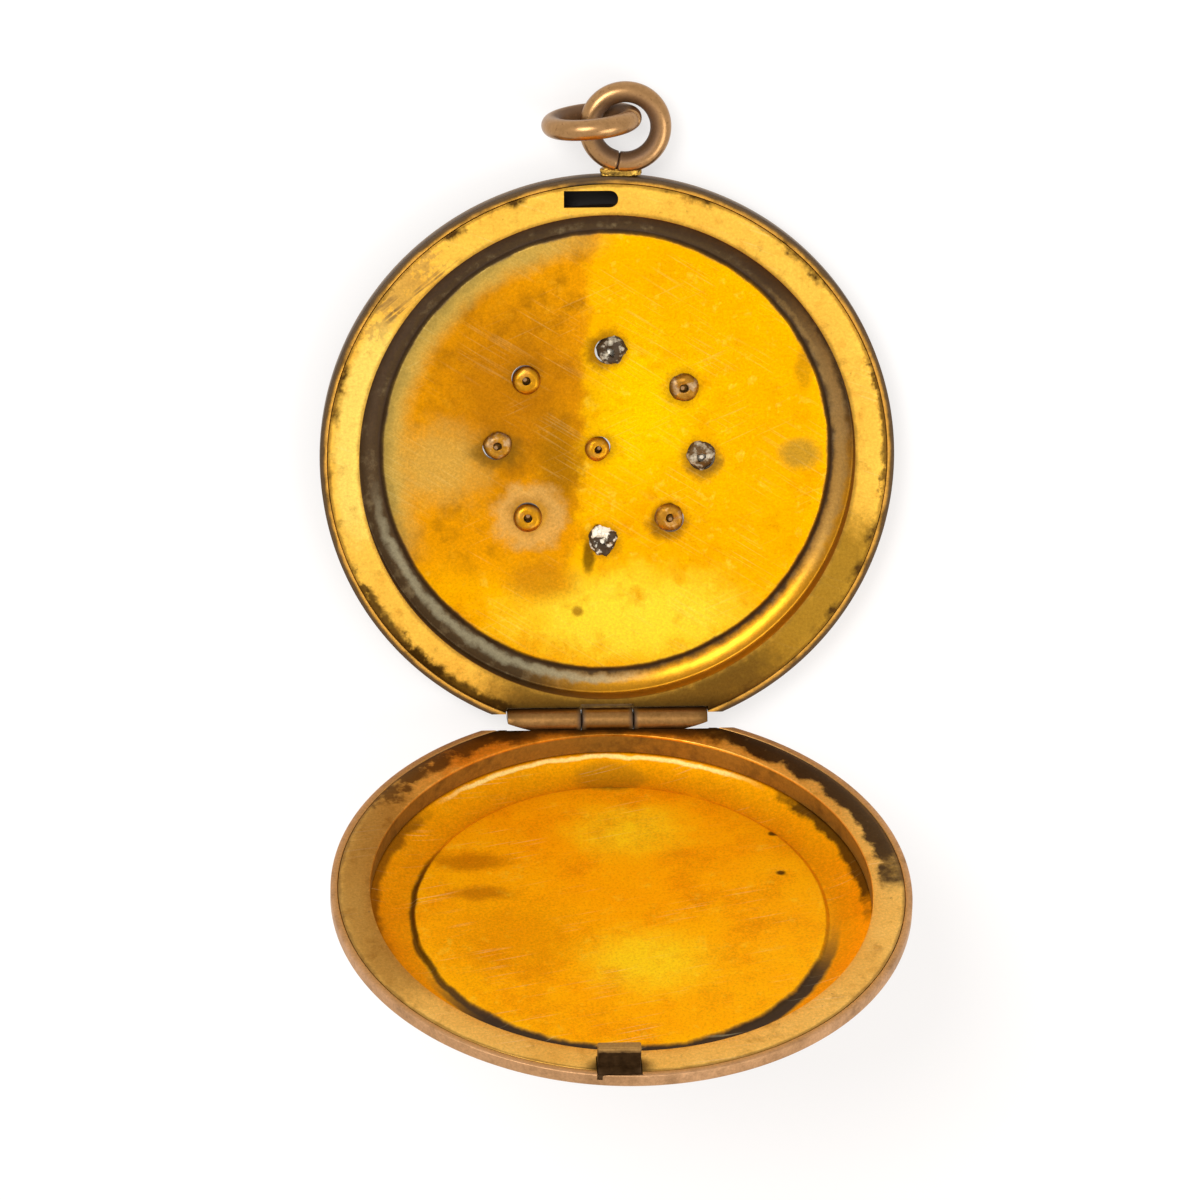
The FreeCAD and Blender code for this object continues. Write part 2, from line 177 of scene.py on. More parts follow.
COVER_RADIUS = 14.3
HALF_DEPTH = 2.1
SHEET = 0.35
WALL_INNER = COVER_RADIUS - SHEET
RIM_INNER = WALL_INNER - 1.6
FOOT_OUTER = RIM_INNER + 0.3
FLOOR_DEPTH = 1.56
DISC_STEP = 0.19
FRONT_DISC = RIM_INNER - 1.25
KNUCKLE_RADIUS = 0.65
KNUCKLE_GAP = 0.05
HINGE_OUT = COVER_RADIUS - 0.85
HINGE_UP = 0.02
HINGE_REACH = 5.0
CENTRE_REACH = 1.27
FRONT_FLAT = 1.23
RIM_PLATE = 0.3
SOLDER_GAP = 0.02
FRONT_FOOT = 1.35
CENTRE_RELIEF = 0.2
CUTTER_REACH = 15
CUTTER_DEPTH = 5

front_place = Matrix.Translation((0, 0, mating_height)) @ Matrix.Scale(MM, 4)


def meshed(bm, name):
    """The mesh that a bmesh holds; the bmesh is freed."""
    mesh = bpy.data.meshes.new(name)
    bm.to_mesh(mesh)
    bm.free()
    return mesh


def arc(start, end, radius, steps=12):
    """The points of an arc that bulges away from the axis, without its last."""
    start, end = Vector(start), Vector(end)
    chord = end - start
    outward = Vector((-chord.y, chord.x)).normalized()
    if outward.x < 0:
        outward.negate()
    half = chord.length / 2
    centre = (start + end) / 2 - outward * math.sqrt(radius ** 2 - half ** 2)
    first = start - centre
    swing = first.angle_signed(end - centre)
    points = []
    for step in range(steps):
        angle = -swing * step / steps
        points.append(centre + Vector((first.x * math.cos(angle) - first.y * math.sin(angle),
                                       first.x * math.sin(angle) + first.y * math.cos(angle))))
    return points


def softened(corners, round_by):
    """A closed outline of (radius, height) points with its clear corners rounded off."""
    points = []
    for index, corner in enumerate(corners):
        here = Vector(corner)
        back = Vector(corners[index - 1]) - here
        on = Vector(corners[(index + 1) % len(corners)]) - here
        if here.x < 1e-6 or math.pi - back.angle(on) < 0.35:
            points.append(here)
            continue
        reach = min(round_by, back.length * 0.45, on.length * 0.45)
        start = here + back.normalized() * reach
        end = here + on.normalized() * reach
        for share in (0, 1 / 3, 2 / 3, 1):
            points.append(start.lerp(here, share).lerp(here.lerp(end, share), share))
    return points


def turned(name, outline, segments=288, longest=0.7):
    """A closed mesh made by turning an outline about the axis, its long runs divided."""
    runs = []
    for index, point in enumerate(outline):
        following = outline[(index + 1) % len(outline)]
        parts = 1
        if not (point.x < 1e-6 and following.x < 1e-6):
            parts = max(1, math.ceil((following - point).length / longest))
        runs += [point.lerp(following, part / parts) for part in range(parts)]
    bm = bmesh.new()
    rings = []
    for point in runs:
        if point.x < 1e-6:
            rings.append([bm.verts.new((0, 0, point.y))] * segments)
            continue
        angles = [math.tau * step / segments for step in range(segments)]
        rings.append([bm.verts.new((point.x * math.cos(a), point.x * math.sin(a), point.y))
                      for a in angles])
    for index, ring in enumerate(rings):
        following = rings[(index + 1) % len(rings)]
        for step in range(segments):
            after = (step + 1) % segments
            corners = []
            for vert in (ring[step], ring[after], following[after], following[step]):
                if vert not in corners:
                    corners.append(vert)
            if len(corners) > 2:
                bm.faces.new(corners)
    bmesh.ops.recalc_face_normals(bm, faces=bm.faces)
    return meshed(bm, name)


def dented(mesh, depth, spread, fade_from, fade_to, seed):
    """Lets the sheet wander up and down, less and less towards its edge."""
    for vert in mesh.vertices:
        x, y, z = vert.co
        far = math.hypot(x, y)
        share = min(1.0, max(0.0, (fade_to - far) / (fade_to - fade_from)))
        vert.co.z += share * depth * noise.noise(Vector((x / spread, y / spread, seed)))


def block(low, high):
    """A cutter with square edges."""
    bm = bmesh.new()
    bmesh.ops.create_cube(bm, size=1)
    for vert in bm.verts:
        vert.co = [low[i] if vert.co[i] < 0 else high[i] for i in range(3)]
    return meshed(bm, "cutter")


def rod(radius, length, place, segments=64):
    """A round cutter, drawn along Z."""
    bm = bmesh.new()
    bmesh.ops.create_cone(bm, cap_ends=True, segments=segments, radius1=radius,
                          radius2=radius, depth=length)
    mesh = meshed(bm, "cutter")
    mesh.transform(place)
    return mesh


def carved(mesh, cutters, operation="DIFFERENCE"):
    """The mesh after each cutter has been taken from it, or joined or crossed with it."""
    blank = bpy.data.objects.new("blank", mesh)
    scene.collection.objects.link(blank)
    for cutter in cutters:
        tool = bpy.data.objects.new("tool", cutter)
        scene.collection.objects.link(tool)
        cutting = blank.modifiers.new("cutting", "BOOLEAN")
        cutting.operation = operation
        cutting.solver = "MANIFOLD"
        cutting.object = tool
        graph = bpy.context.evaluated_depsgraph_get()
        result = bpy.data.meshes.new_from_object(blank.evaluated_get(graph))
        blank.modifiers.remove(cutting)
        blank.data = result
        bpy.data.objects.remove(tool)
    finished = blank.data
    bpy.data.objects.remove(blank)
    return finished


def fitted(name, mesh, place, body, material, nodes, sharp=32):
    """Finishes a piece: notes where each point lies in its own half, in mm, and sets it there."""
    mesh.attributes.new("lay", "FLOAT_VECTOR", "POINT")
    mesh.attributes.new("inside", "FLOAT", "POINT")
    lay, inside = mesh.attributes["lay"].data, mesh.attributes["inside"].data
    for vert in mesh.vertices:
        lay[vert.index].vector = vert.co
        flat = math.hypot(vert.co.x, vert.co.y)
        inside[vert.index].value = float(vert.normal.z > 0 and flat < WALL_INNER + 0.2)
    mesh.transform(place)
    mesh.shade_smooth()
    mesh.set_sharp_from_angle(angle=math.radians(sharp))
    mesh.materials.clear()
    mesh.materials.append(material)
    piece = bpy.data.objects.new(name, mesh)
    scene.collection.objects.link(piece)
    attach(piece, body)
    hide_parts(*nodes)
    return piece


def cover_outline(side, foot, shoulder, inner_shoulder, cove, disc):
    """The pressed cover's section, from the axis out along the inside and back outside."""
    groove = -FLOOR_DEPTH - DISC_STEP
    outline = [Vector((0, -FLOOR_DEPTH)), Vector((disc, -FLOOR_DEPTH)),
               Vector((disc + 0.2, groove))]
    outline += arc((disc + 0.4, groove), (RIM_INNER - 0.05, -foot), cove)
    outline += [Vector((RIM_INNER - 0.05, -foot))]
    outline += arc((FOOT_OUTER, -foot), (WALL_INNER, -side), inner_shoulder)
    outline += [Vector((WALL_INNER, -side)), Vector((WALL_INNER, 0)), Vector((COVER_RADIUS, 0))]
    outline += arc((COVER_RADIUS, -side), (disc + 0.5, -HALF_DEPTH), shoulder)
    outline += [Vector((disc + 0.5, -HALF_DEPTH)), Vector((disc + 0.1, -HALF_DEPTH)),
                Vector((disc, -FLOOR_DEPTH - SHEET)), Vector((0, -FLOOR_DEPTH - SHEET))]
    return outline


def hinge_line(way):
    """Lays Z along the hinge; way is -1 where the hinge is at -Y, and 1 where it is at +Y."""
    return (Matrix.Translation((0, way * HINGE_OUT, HINGE_UP))
            @ Matrix.Rotation(math.pi / 2, 4, "Y"))


def along_hinge(radius, reach, way):
    """A round cutter on the hinge line."""
    return rod(radius, 2 * reach, hinge_line(way))


def hinge_cutters(flat, way):
    """The flat across a half's hinge side and the trough for its knuckles."""
    edge = COVER_RADIUS - flat
    near, far = sorted((way * edge, way * (COVER_RADIUS + 1)))
    return [block((-CUTTER_REACH, near, -CUTTER_DEPTH), (CUTTER_REACH, far, CUTTER_DEPTH)),
            along_hinge(KNUCKLE_RADIUS + KNUCKLE_GAP, HINGE_REACH + KNUCKLE_GAP, way)]


cup_places = {}
for name in ["centre"] + [str(number) for number in range(1, 9)]:
    low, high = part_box("stone_cup_" + name)
    middle = (low + high) / 2 / MM
    cup_places[name] = (middle.x, middle.y, (high.x - low.x) / 2 / MM)


def front_cutters():
    """The flat and troughs in the front half, the deepest for the back half's knuckle."""
    return hinge_cutters(FRONT_FLAT, -1) + [
        along_hinge(KNUCKLE_RADIUS + CENTRE_RELIEF, CENTRE_REACH + KNUCKLE_GAP, -1)]


cup_holes = [rod(radius - 0.05, 4, Matrix.Translation((x, y, -1)), 48)
             for x, y, radius in cup_places.values()]


def wander_of(tree, lay, per_mm, amount, seed):
    """Uneven edges for stains: a noise round 0."""
    uneven = put(tree, "TexNoise", {"Vector": lay, "Scale": per_mm, "Detail": 5.0,
                                    "Roughness": 0.6, "W": seed}, noise_dimensions="4D")
    centred = put(tree, "Math", {0: uneven.outputs["Fac"], 1: 0.5}, operation="SUBTRACT")
    return put(tree, "Math", {0: centred, 1: amount}, operation="MULTIPLY")


def spot(tree, lay, wander, middle, reach, edge=0.4, strength=1.0):
    """Where a spot is: its middle and its reach along X and Y in mm, with a ragged edge."""
    away = put(tree, "VectorMath", {0: lay, 1: (*middle, 0)}, operation="SUBTRACT")
    scaled = put(tree, "VectorMath", {0: away, 1: (1 / reach[0], 1 / reach[1], 0)},
                 operation="MULTIPLY")
    far = put(tree, "VectorMath", {0: scaled}, operation="LENGTH")
    ragged = put(tree, "Math", {0: far.outputs["Value"], 1: wander}, operation="ADD")
    return put(tree, "MapRange",
               {"Value": ragged, "From Min": 1 - edge, "From Max": 1 + edge / 2,
                "To Min": strength, "To Max": 0.0}, interpolation_type="SMOOTHSTEP")


def band(tree, lay, wander, inner, outer, soft=0.2, bearing=0, spread=180, strength=1.0):
    """Where part of a ring is: between two radii in mm, round a bearing in degrees."""
    flat = put(tree, "VectorMath", {0: lay, 1: (1, 1, 0)}, operation="MULTIPLY")
    far = put(tree, "VectorMath", {0: flat}, operation="LENGTH")
    ragged = put(tree, "Math", {0: far.outputs["Value"], 1: wander}, operation="ADD")
    start = put(tree, "MapRange",
                {"Value": ragged, "From Min": inner - soft, "From Max": inner + soft,
                 "To Min": 0.0, "To Max": strength}, interpolation_type="SMOOTHSTEP")
    stop = put(tree, "MapRange",
               {"Value": ragged, "From Min": outer - soft, "From Max": outer + soft,
                "To Min": 1.0, "To Max": 0.0}, interpolation_type="SMOOTHSTEP")
    mask = put(tree, "Math", {0: start, 1: stop}, operation="MULTIPLY")
    if spread < 180:
        turn = math.radians(bearing)
        along = put(tree, "VectorMath", {0: flat, 1: (math.cos(turn), math.sin(turn), 0)},
                    operation="DOT_PRODUCT")
        ratio = put(tree, "Math", {0: along.outputs["Value"], 1: far.outputs["Value"]},
                    operation="DIVIDE")
        nudged = put(tree, "Math", {0: wander, 1: 0.15, 2: ratio}, operation="MULTIPLY_ADD")
        ends = put(tree, "MapRange",
                   {"Value": nudged, "From Min": math.cos(math.radians(spread)),
                    "From Max": math.cos(math.radians(spread * 0.6))},
                   interpolation_type="SMOOTHSTEP")
        mask = put(tree, "Math", {0: mask, 1: ends}, operation="MULTIPLY")
    return mask


def stained(tree, ground, shade, mask):
    """The ground with a shade over it where the mask is; each is a hex value or a socket."""
    ground, shade = (tint(c) if isinstance(c, str) else c for c in (ground, shade))
    return put(tree, "Mix", {0: mask, 6: ground, 7: shade}, data_type="RGBA").outputs[2]


def marked(tree, lay, wander, ground, mask, marks):
    """The ground colour with marks over it: each is a shade and what spot or band takes."""
    for shade, *where in marks:
        ground = stained(tree, ground, shade, mask(tree, lay, wander, *where))
    return ground


def clouds(tree, lay, per_mm, amount, seed, lift=0.5):
    """Broad soft patches from 0 to 1; the lift says how much they cover."""
    wander = wander_of(tree, lay, per_mm, amount, seed)
    return put(tree, "Math", {0: wander, 1: lift}, operation="ADD", use_clamp=True)


def laid(name):
    """A new material, its tree, and where each point lies in its own half."""
    material, tree = new_material(name)
    return material, tree, put(tree, "Attribute", attribute_name="lay").outputs["Vector"]


def patches(tree, lay, per_mm, low, high, most, seed):
    """Where cloudy patches are, at so many to the mm, and how strong they get."""
    return put(tree, "MapRange", {"Value": wander_of(tree, lay, per_mm, 1.0, seed),
                                  "From Min": low, "From Max": high, "To Max": most})


def mottled(tree, lay, ground, shade, per_mm, least, strength, seed):
    """The ground colour with patches of a shade."""
    return stained(tree, ground, shade,
                   patches(tree, lay, per_mm, least, least + 0.2, strength, seed))


def scratches(tree, lay, turn, per_mm, least, seed):
    """Fine lines in one direction, in degrees, at so many to the mm."""
    run = put(tree, "Mapping",
              {"Vector": lay, "Rotation": (0, 0, math.radians(turn)),
               "Scale": (5.0, 1 / per_mm, 1000.0)}, vector_type="TEXTURE")
    lines = put(tree, "TexNoise", {"Vector": run, "Scale": 1.0, "Detail": 1.0, "W": seed},
                noise_dimensions="4D")
    clumps = put(tree, "TexNoise", {"Vector": lay, "Scale": 0.45, "Detail": 2.0, "W": seed},
                  noise_dimensions="4D")
    line = put(tree, "MapRange",
               {"Value": lines.outputs["Fac"], "From Min": least, "From Max": least + 0.08})
    patch = put(tree, "MapRange",
                {"Value": clumps.outputs["Fac"], "From Min": 0.45, "From Max": 0.62})
    return put(tree, "Math", {0: line, 1: patch}, operation="MULTIPLY")


def scratched(tree, lay, ground, shade, strength, *lines):
    """The ground colour with bright scratches over it; the lines are what scratches takes."""
    marks = put(tree, "Math", {0: scratches(tree, lay, *lines), 1: strength},
                operation="MULTIPLY")
    return stained(tree, ground, shade, marks)


def metal(tree, lay, colour, dullness, rough, grain=0.24, pit=0.014):
    """Worn metal: a fine grain in its colour, shallow pits, and a dullness that hides its shine,
    laid over dirt and over some painted shade.
    """
    grit = put(tree, "TexNoise", {"Vector": lay, "Scale": 7.0, "Detail": 4.0, "Roughness": 0.75})
    value = put(tree, "MapRange", {"Value": grit.outputs["Fac"], "From Min": 0.25,
                                   "From Max": 0.75, "To Min": 1 - grain, "To Max": 1 + grain})
    grained = put(tree, "HueSaturation", {"Value": value, "Color": colour})
    shine = put(tree, "Math", {0: dullness, 1: -0.75, 2: 1.0}, operation="MULTIPLY_ADD")
    dull = put(tree, "Math", {0: dullness, 1: 0.3, 2: rough}, operation="MULTIPLY_ADD")
    patchy = put(tree, "TexNoise", {"Vector": lay, "Scale": 1.1, "Detail": 3.0})
    uneven = put(tree, "Math", {0: patchy.outputs["Fac"], 1: 0.12, 2: dull},
                 operation="MULTIPLY_ADD")
    ripple = put(tree, "TexNoise", {"Vector": lay, "Scale": 2.6, "Detail": 6.0, "Roughness": 0.65})
    bump = put(tree, "Bump", {"Height": ripple.outputs["Fac"], "Strength": 0.55,
                              "Distance": pit * MM})
    shader = put(tree, "BsdfPrincipled",
                 {"Base Color": grained, "Metallic": shine,
                  "Roughness": uneven, "Normal": bump})
    put(tree, "OutputMaterial", {"Surface": shader})


# Gold-filled brass, lacquered by age: deep yellow at the right and orange-brown at the left,
# partly painted shade of that side and partly tarnish where it wasn't wiped, with grey bloom and
# brown dirt along the steps.
front_gold, tree, lay = laid("aged_front_gold_filled_sheet")
inside = put(tree, "Attribute", attribute_name="inside").outputs["Fac"]
place = put(tree, "SeparateXYZ", {0: lay}).outputs
cloud = clouds(tree, lay, 0.35, 1.6, 1.0)
fine = wander_of(tree, lay, 1.3, 0.9, 2.0)
calm = wander_of(tree, lay, 0.8, 0.35, 6.0)

colour = stained(tree, "f0a300", "f6b800", cloud)
colour = marked(tree, lay, fine, colour, spot, (
    ("f9c900", (1.4, 2.2), (3.2, 4.2), 0.8, 0.75),
    ("fbd834", (1.2, -8.5), (6.2, 2.6), 0.7, 0.9)))
colour = mottled(tree, lay, colour, "de9300", 0.8, 0.02, 0.75, 7.0)
colour = mottled(tree, lay, colour, "fbe04a", 1.4, 0.08, 0.6, 8.0)
# The left side is painted a darker orange, partly as painted shade of that side, with patches of
# tarnish over it.
tone_drift = wander_of(tree, lay, 0.22, 5.0, 26.0)
tone_bend = put(tree, "Math", {0: place["Y"], 1: -0.03, 2: tone_drift}, operation="MULTIPLY_ADD")
tone_place = put(tree, "Math", {0: place["X"], 1: tone_bend}, operation="ADD")
tone_line = put(tree, "Math", {0: fine, 1: 1.2, 2: tone_place}, operation="MULTIPLY_ADD")
tone_side = put(tree, "MapRange",
                {"Value": tone_line, "From Min": -1.6, "From Max": -0.8,
                 "To Min": 1.0, "To Max": 0.0}, interpolation_type="SMOOTHSTEP")
tone_end = put(tree, "MapRange", {"Value": place["Y"], "From Min": -7.6, "From Max": -4.2},
               interpolation_type="SMOOTHSTEP")
tone = put(tree, "Math", {0: tone_side, 1: tone_end}, operation="MULTIPLY")
colour = stained(tree, colour, "dd9204", tone)
left = put(tree, "Math", {0: tone, 1: 0.75}, operation="MULTIPLY")
patchy = mottled(tree, lay, "dd9204", "9a6508", 0.9, -0.02, 1.0, 9.0)
patchy = mottled(tree, lay, patchy, "efae20", 1.6, 0.06, 0.8, 10.0)
colour = stained(tree, colour, patchy, left)
# Orange smears at the left, then the grey bloom of a smear that dried.
colour = marked(tree, lay, fine, colour, spot, (
    ("ae6c0a", (-4.8, 3.0), (4.4, 5.4), 0.8, 0.8),
    ("a06a08", (-2.3, -0.6), (1.3, 3.0), 0.7, 0.85),
    ("bf7d0e", (-3.2, -6.6), (1.9, 1.2), 0.6, 0.7),
    ("d3a457", (-3.75, -3.3), (1.9, 1.8), 0.3, 0.75),
    ("e2a53a", (-3.75, -3.3), (0.85, 0.8), 0.2, 0.9)))
# A grey crescent along the left edge of the disc.
colour = marked(tree, lay, fine, colour, band, (
    ("bd9f4c", 10.2, 11.6, 0.6, 150, 64, 0.85),
    ("8f7a3c", 10.8, 11.6, 0.25, 160, 55, 0.6)))
# Blots near the edge, a dark foot round every cup, and darker dirt beside some of them.
colour = marked(tree, lay, fine, colour, spot, (
    ("c9a24a", (-8.3, -0.6), (2.6, 2.2), 0.7, 0.7),
    ("b48a2a", (9.7, -0.2), (1.1, 0.8), 0.5, 0.8),
    ("a4730f", (9.9, 4.2), (0.5, 1.2), 0.5, 0.5),
    *(("8d5c10", (x, y), (radius * 1.45, radius * 1.45), 0.45, 0.5)
      for x, y, radius in cup_places.values()),
    ("7c5612", (-5.35, 0.0), (1.5, 0.95), 0.5, 0.75),
    ("8a5c0d", (0.0, 5.2), (1.1, 1.0), 0.5, 0.75),
    ("3a2408", (-0.85, -5.5), (0.35, 0.9), 0.5, 0.75),
    ("8f5d10", (-1.4, -8.2), (0.3, 0.3), 0.5, 0.75),
    ("7a5010", (3.0, -3.7), (1.0, 0.9), 0.5, 0.75),
    ("7d5a1c", (4.9, -0.6), (1.0, 0.95), 0.5, 0.75)))
rubbed = scratches(tree, lay, -32, 9.0, 0.56, 3.0)
crossed = scratches(tree, lay, 24, 7.0, 0.63, 4.0)
marks = put(tree, "Math", {0: rubbed, 1: crossed}, operation="MAXIMUM")
fewer = put(tree, "Math", {0: marks, 1: 0.07}, operation="MULTIPLY")
colour = stained(tree, colour, "fff0a0", fewer)

cove = band(tree, lay, calm, FRONT_DISC + 0.1, 14.0, 0.12)
colour = stained(tree, colour, "45300f", cove)
grey = put(tree, "Math", {0: cove, 1: 0.8}, operation="MULTIPLY")
streaked = mottled(tree, lay, "45300f", "7d6a48", 1.5, 0.02, 0.9, 18.0)
colour = stained(tree, colour, streaked, grey)
amber = band(tree, lay, fine, FRONT_DISC + 0.4, 13.6, 0.2, -50, 62, 0.85)
colour = stained(tree, colour, "bf8418", amber)
# Bands in the cove: first a painted highlight round -50°, then grey, brown and dark bands.
colour = marked(tree, lay, fine, colour, band, (
    ("d69a24", 11.75, 12.05, 0.12, -50, 34, 0.7),
    ("8d8467", 11.5, 11.9, 0.15, -125, 50, 0.8),
    ("9a7840", 11.45, 12.1, 0.2, 5, 44, 0.8),
    ("3c270d", 11.6, 12.4, 0.1, 100, 88, 0.85)))
step_line = band(tree, lay, calm, FRONT_DISC - 0.02, FRONT_DISC + 0.26, 0.09, strength=0.85)
colour = stained(tree, colour, "3a240a", step_line)
lip = band(tree, lay, calm, WALL_INNER - 0.05, 15.0, 0.05)
colour = stained(tree, colour, "cf983c", lip)
colour = stained(tree, colour,
                 mottled(tree, lay, "cf983c", "54390f", 0.7, 0.0, 1.0, 24.0), lip)
brink = band(tree, lay, calm, WALL_INNER + 0.16, 15.0, 0.07, strength=0.9)
colour = stained(tree, colour, "4a3518", brink)
# Where the slot opens over the cover, the sheet is painted near-black as painted shadow, and made
# matt.
slot_shadow = spot(tree, lay, calm, (-0.85, 13.2), (1.9, 1.0), 0.3)
colour = stained(tree, colour, "0d0703", slot_shadow)

outside = put(tree, "Math", {0: 1.0, 1: inside}, operation="SUBTRACT")
polished = stained(tree, "96723e", "6e4f28", cloud)
polished = mottled(tree, lay, polished, "5a4020", 0.9, 0.03, 0.8, 25.0)
polished = stained(tree, polished, "7a5a34", clouds(tree, lay, 0.9, 2.0, 5.0, 0.05))
# The outside darkens towards the mating edge, and goes matt there.
darker_near_edge = put(tree, "MapRange", {"Value": place["Z"], "From Min": -0.9, "From Max": -0.25,
                                    "To Max": 0.85})
polished = stained(tree, polished, "3c2a12", darker_near_edge)
colour = stained(tree, colour, polished, outside)
unrubbed = put(tree, "Math", {0: 1.0, 1: amber}, operation="SUBTRACT")
dulled = put(tree, "Math", {0: cove, 1: unrubbed}, operation="MULTIPLY")
matt = put(tree, "Math", {0: dulled, 1: 0.55}, operation="MULTIPLY")
crusted = put(tree, "Math", {0: step_line, 1: matt}, operation="MAXIMUM")
matt_share = put(tree, "Math", {0: crusted, 1: slot_shadow}, operation="MAXIMUM")
dullness = put(tree, "Mix", {0: outside, 2: matt_share, 3: darker_near_edge})
metal(tree, lay, colour, dullness, 0.3)

outline = cover_outline(side=0.95, foot=FRONT_FOOT, shoulder=3.74, inner_shoulder=1.62,
                        cove=1.29, disc=FRONT_DISC)
mesh = turned("front_cover_sheet", softened(outline, 0.06))
dented(mesh, depth=0.035, spread=5.0, fade_from=7.0, fade_to=10.6, seed=1.7)
mesh = carved(mesh, front_cutters() + cup_holes)
fitted("front_cover_sheet", mesh, front_place, "front_half", front_gold,
       ["front_cover"])

# ---------------------------------------------------------------- the front rim
# A ring of L-section soldered inside the cover's edge: its plate carries the catch's slot and
# its wall holds the picture in. Drawn gold-filled strip, rubbed bright on top.

def toward_hinge(tree, place, wander, start, end):
    """Where the rim darkens by the hinge, dirt and painted shade together: it thickens from one Y,
    in mm, to the other.
    """
    ragged = put(tree, "Math", {0: wander, 1: 0.5, 2: place["Y"]}, operation="MULTIPLY_ADD")
    return put(tree, "MapRange",
               {"Value": ragged, "From Min": start, "From Max": end, "To Max": 0.85})


front_rim_gold, tree, lay = laid("rubbed_front_rim_strip")
place = put(tree, "SeparateXYZ", {0: lay}).outputs
fine = wander_of(tree, lay, 2.2, 0.8, 12.0)
calm = wander_of(tree, lay, 0.7, 0.3, 17.0)
colour = stained(tree, "e9ab3c", "f3c24c", clouds(tree, lay, 0.4, 1.4, 11.0))
colour = mottled(tree, lay, colour, "c98c2c", 1.2, 0.04, 0.7, 19.0)
colour = stained(tree, colour, "f8d468", band(tree, lay, fine, 12.3, 13.6, 0.3, 172, 30, 0.7))
colour = scratched(tree, lay, colour, "fff0b0", 0.15, -20, 8.0, 0.62, 16.0)
colour = marked(tree, lay, fine, colour, band, (
    ("96701f", 12.3, 14.6, 0.3, -44, 36, 0.9), ("66491a", 12.3, 14.6, 0.3, -84, 40, 0.9)))
colour = mottled(tree, lay, colour, "8b6420", 1.0, 0.07, 0.6, 29.0)
colour = marked(tree, lay, fine, colour, band, (
    ("a07c44", 12.8, 14.2, 0.4, 141, 11, 0.5),
    ("4a3213", 13.5, 14.4, 0.2, -140, 16, 0.9),
    ("5d4218", 13.7, 14.4, 0.15, 6, 14, 0.9)))
colour = marked(tree, lay, calm, colour, band, (
    ("5a3c12", 13.8, 14.4, 0.08, 0, 180, 0.6), ("7b5a22", 12.2, 12.48, 0.1, 0, 180, 0.6)))
colour = stained(tree, colour, "382409", band(tree, lay, fine, 13.45, 14.4, 0.2, -124, 17, 0.9))
edge = band(tree, lay, fine, 13.6, 14.4, 0.2)
edge_dirt = put(tree, "Math", {0: edge, 1: patches(tree, lay, 0.55, 0.02, 0.14, 1.0, 28.0)},
                operation="MULTIPLY")
colour = stained(tree, colour, "4a3213", edge_dirt)
# Darker by the hinge: dirt with painted shade.
colour = stained(tree, colour, "35240d", toward_hinge(tree, place, fine, -12.0, -12.9))
colour = stained(tree, colour, "7d5518", patches(tree, lay, 3.0, 0.14, 0.24, 0.7, 14.0))
hatch = scratches(tree, lay, 40, 6.0, 0.5, 15.0)
hatched = band(tree, lay, fine, 12.4, 14.2, 0.3, 139, 15)
hatch = put(tree, "Math", {0: hatch, 1: hatched}, operation="MULTIPLY")
colour = stained(tree, colour, "4d3514", hatch)
# The wall under the plate is painted darker, as painted shade, and lighter round -50°, as painted
# light.
below = put(tree, "MapRange", {"Value": place["Z"], "From Min": -0.16, "From Max": -0.07,
                               "To Min": 0.92, "To Max": 0.0})
colour = stained(tree, colour, "54390f", below)
lit_wall = put(tree, "Math", {0: below, 1: band(tree, lay, fine, 12.0, 12.6, 0.3, -50, 60)},
               operation="MULTIPLY")
colour = stained(tree, colour, "a97416", lit_wall)
metal(tree, lay, colour, hatch, 0.34)


def rim_outline(foot):
    """The rim's section: a plate level with the cover's edge and a wall down to its foot."""
    edge = WALL_INNER - SOLDER_GAP
    return [Vector(corner) for corner in (
        (RIM_INNER, 0), (edge, 0), (edge, -RIM_PLATE), (FOOT_OUTER, -RIM_PLATE),
        (FOOT_OUTER, SOLDER_GAP - foot), (RIM_INNER, SOLDER_GAP - foot))]


CATCH_X = -0.85
SLOT_REACH = 1.35
SLOT_HALF = 0.425
SLOT_INNER = FOOT_OUTER + 0.1
slot_end = CATCH_X + SLOT_REACH - SLOT_HALF
slot = [block((CATCH_X - SLOT_REACH, SLOT_INNER, -3), (slot_end, SLOT_INNER + 2 * SLOT_HALF, 3)),
        rod(SLOT_HALF, 6, Matrix.Translation((slot_end, SLOT_INNER + SLOT_HALF, 0)))]
mesh = turned("front_rim_strip", softened(rim_outline(FRONT_FOOT), 0.05))
mesh = carved(mesh, front_cutters() + slot)
fitted("front_rim_strip", mesh, front_place, "front_half", front_rim_gold,
       ["front_rim"])


# ---------------------------------------------------------------- the stones' cups
# Nine little brass collets, turned and pushed through holes in the front cover. Each has a
# small hole in its crown; three have broken open and are caked with dirt.

CUP_RADIUS = 0.7
CUP_BORE = 0.5
CUP_MOUTH = 0.2
CUP_FOOT = -2.0
BREAKS_ABOVE = -1.62
CUP_FIELDS = ("Piece", "Finish", "Lean", "Damage", "Seed")
setting = bpy.data.node_groups.new("pieces_in_holes", "GeometryNodeTree")
setting.interface.new_socket("Places", in_out="INPUT", socket_type="NodeSocketGeometry")
for field, kind in zip(CUP_FIELDS, ("Object", "Material", "Float", "Float", "Int")):
    setting.interface.new_socket(field, in_out="INPUT", socket_type="NodeSocket" + kind)
setting.interface.new_socket("Pieces", in_out="OUTPUT", socket_type="NodeSocketGeometry")
given = put(setting, "NodeGroupInput").outputs
shape = put(setting, "GeometryNodeObjectInfo", {"Object": given["Piece"]})
opposite = put(setting, "Math", {0: given["Lean"], 1: -1.0}, operation="MULTIPLY")
least = put(setting, "CombineXYZ", {0: opposite, 1: opposite})
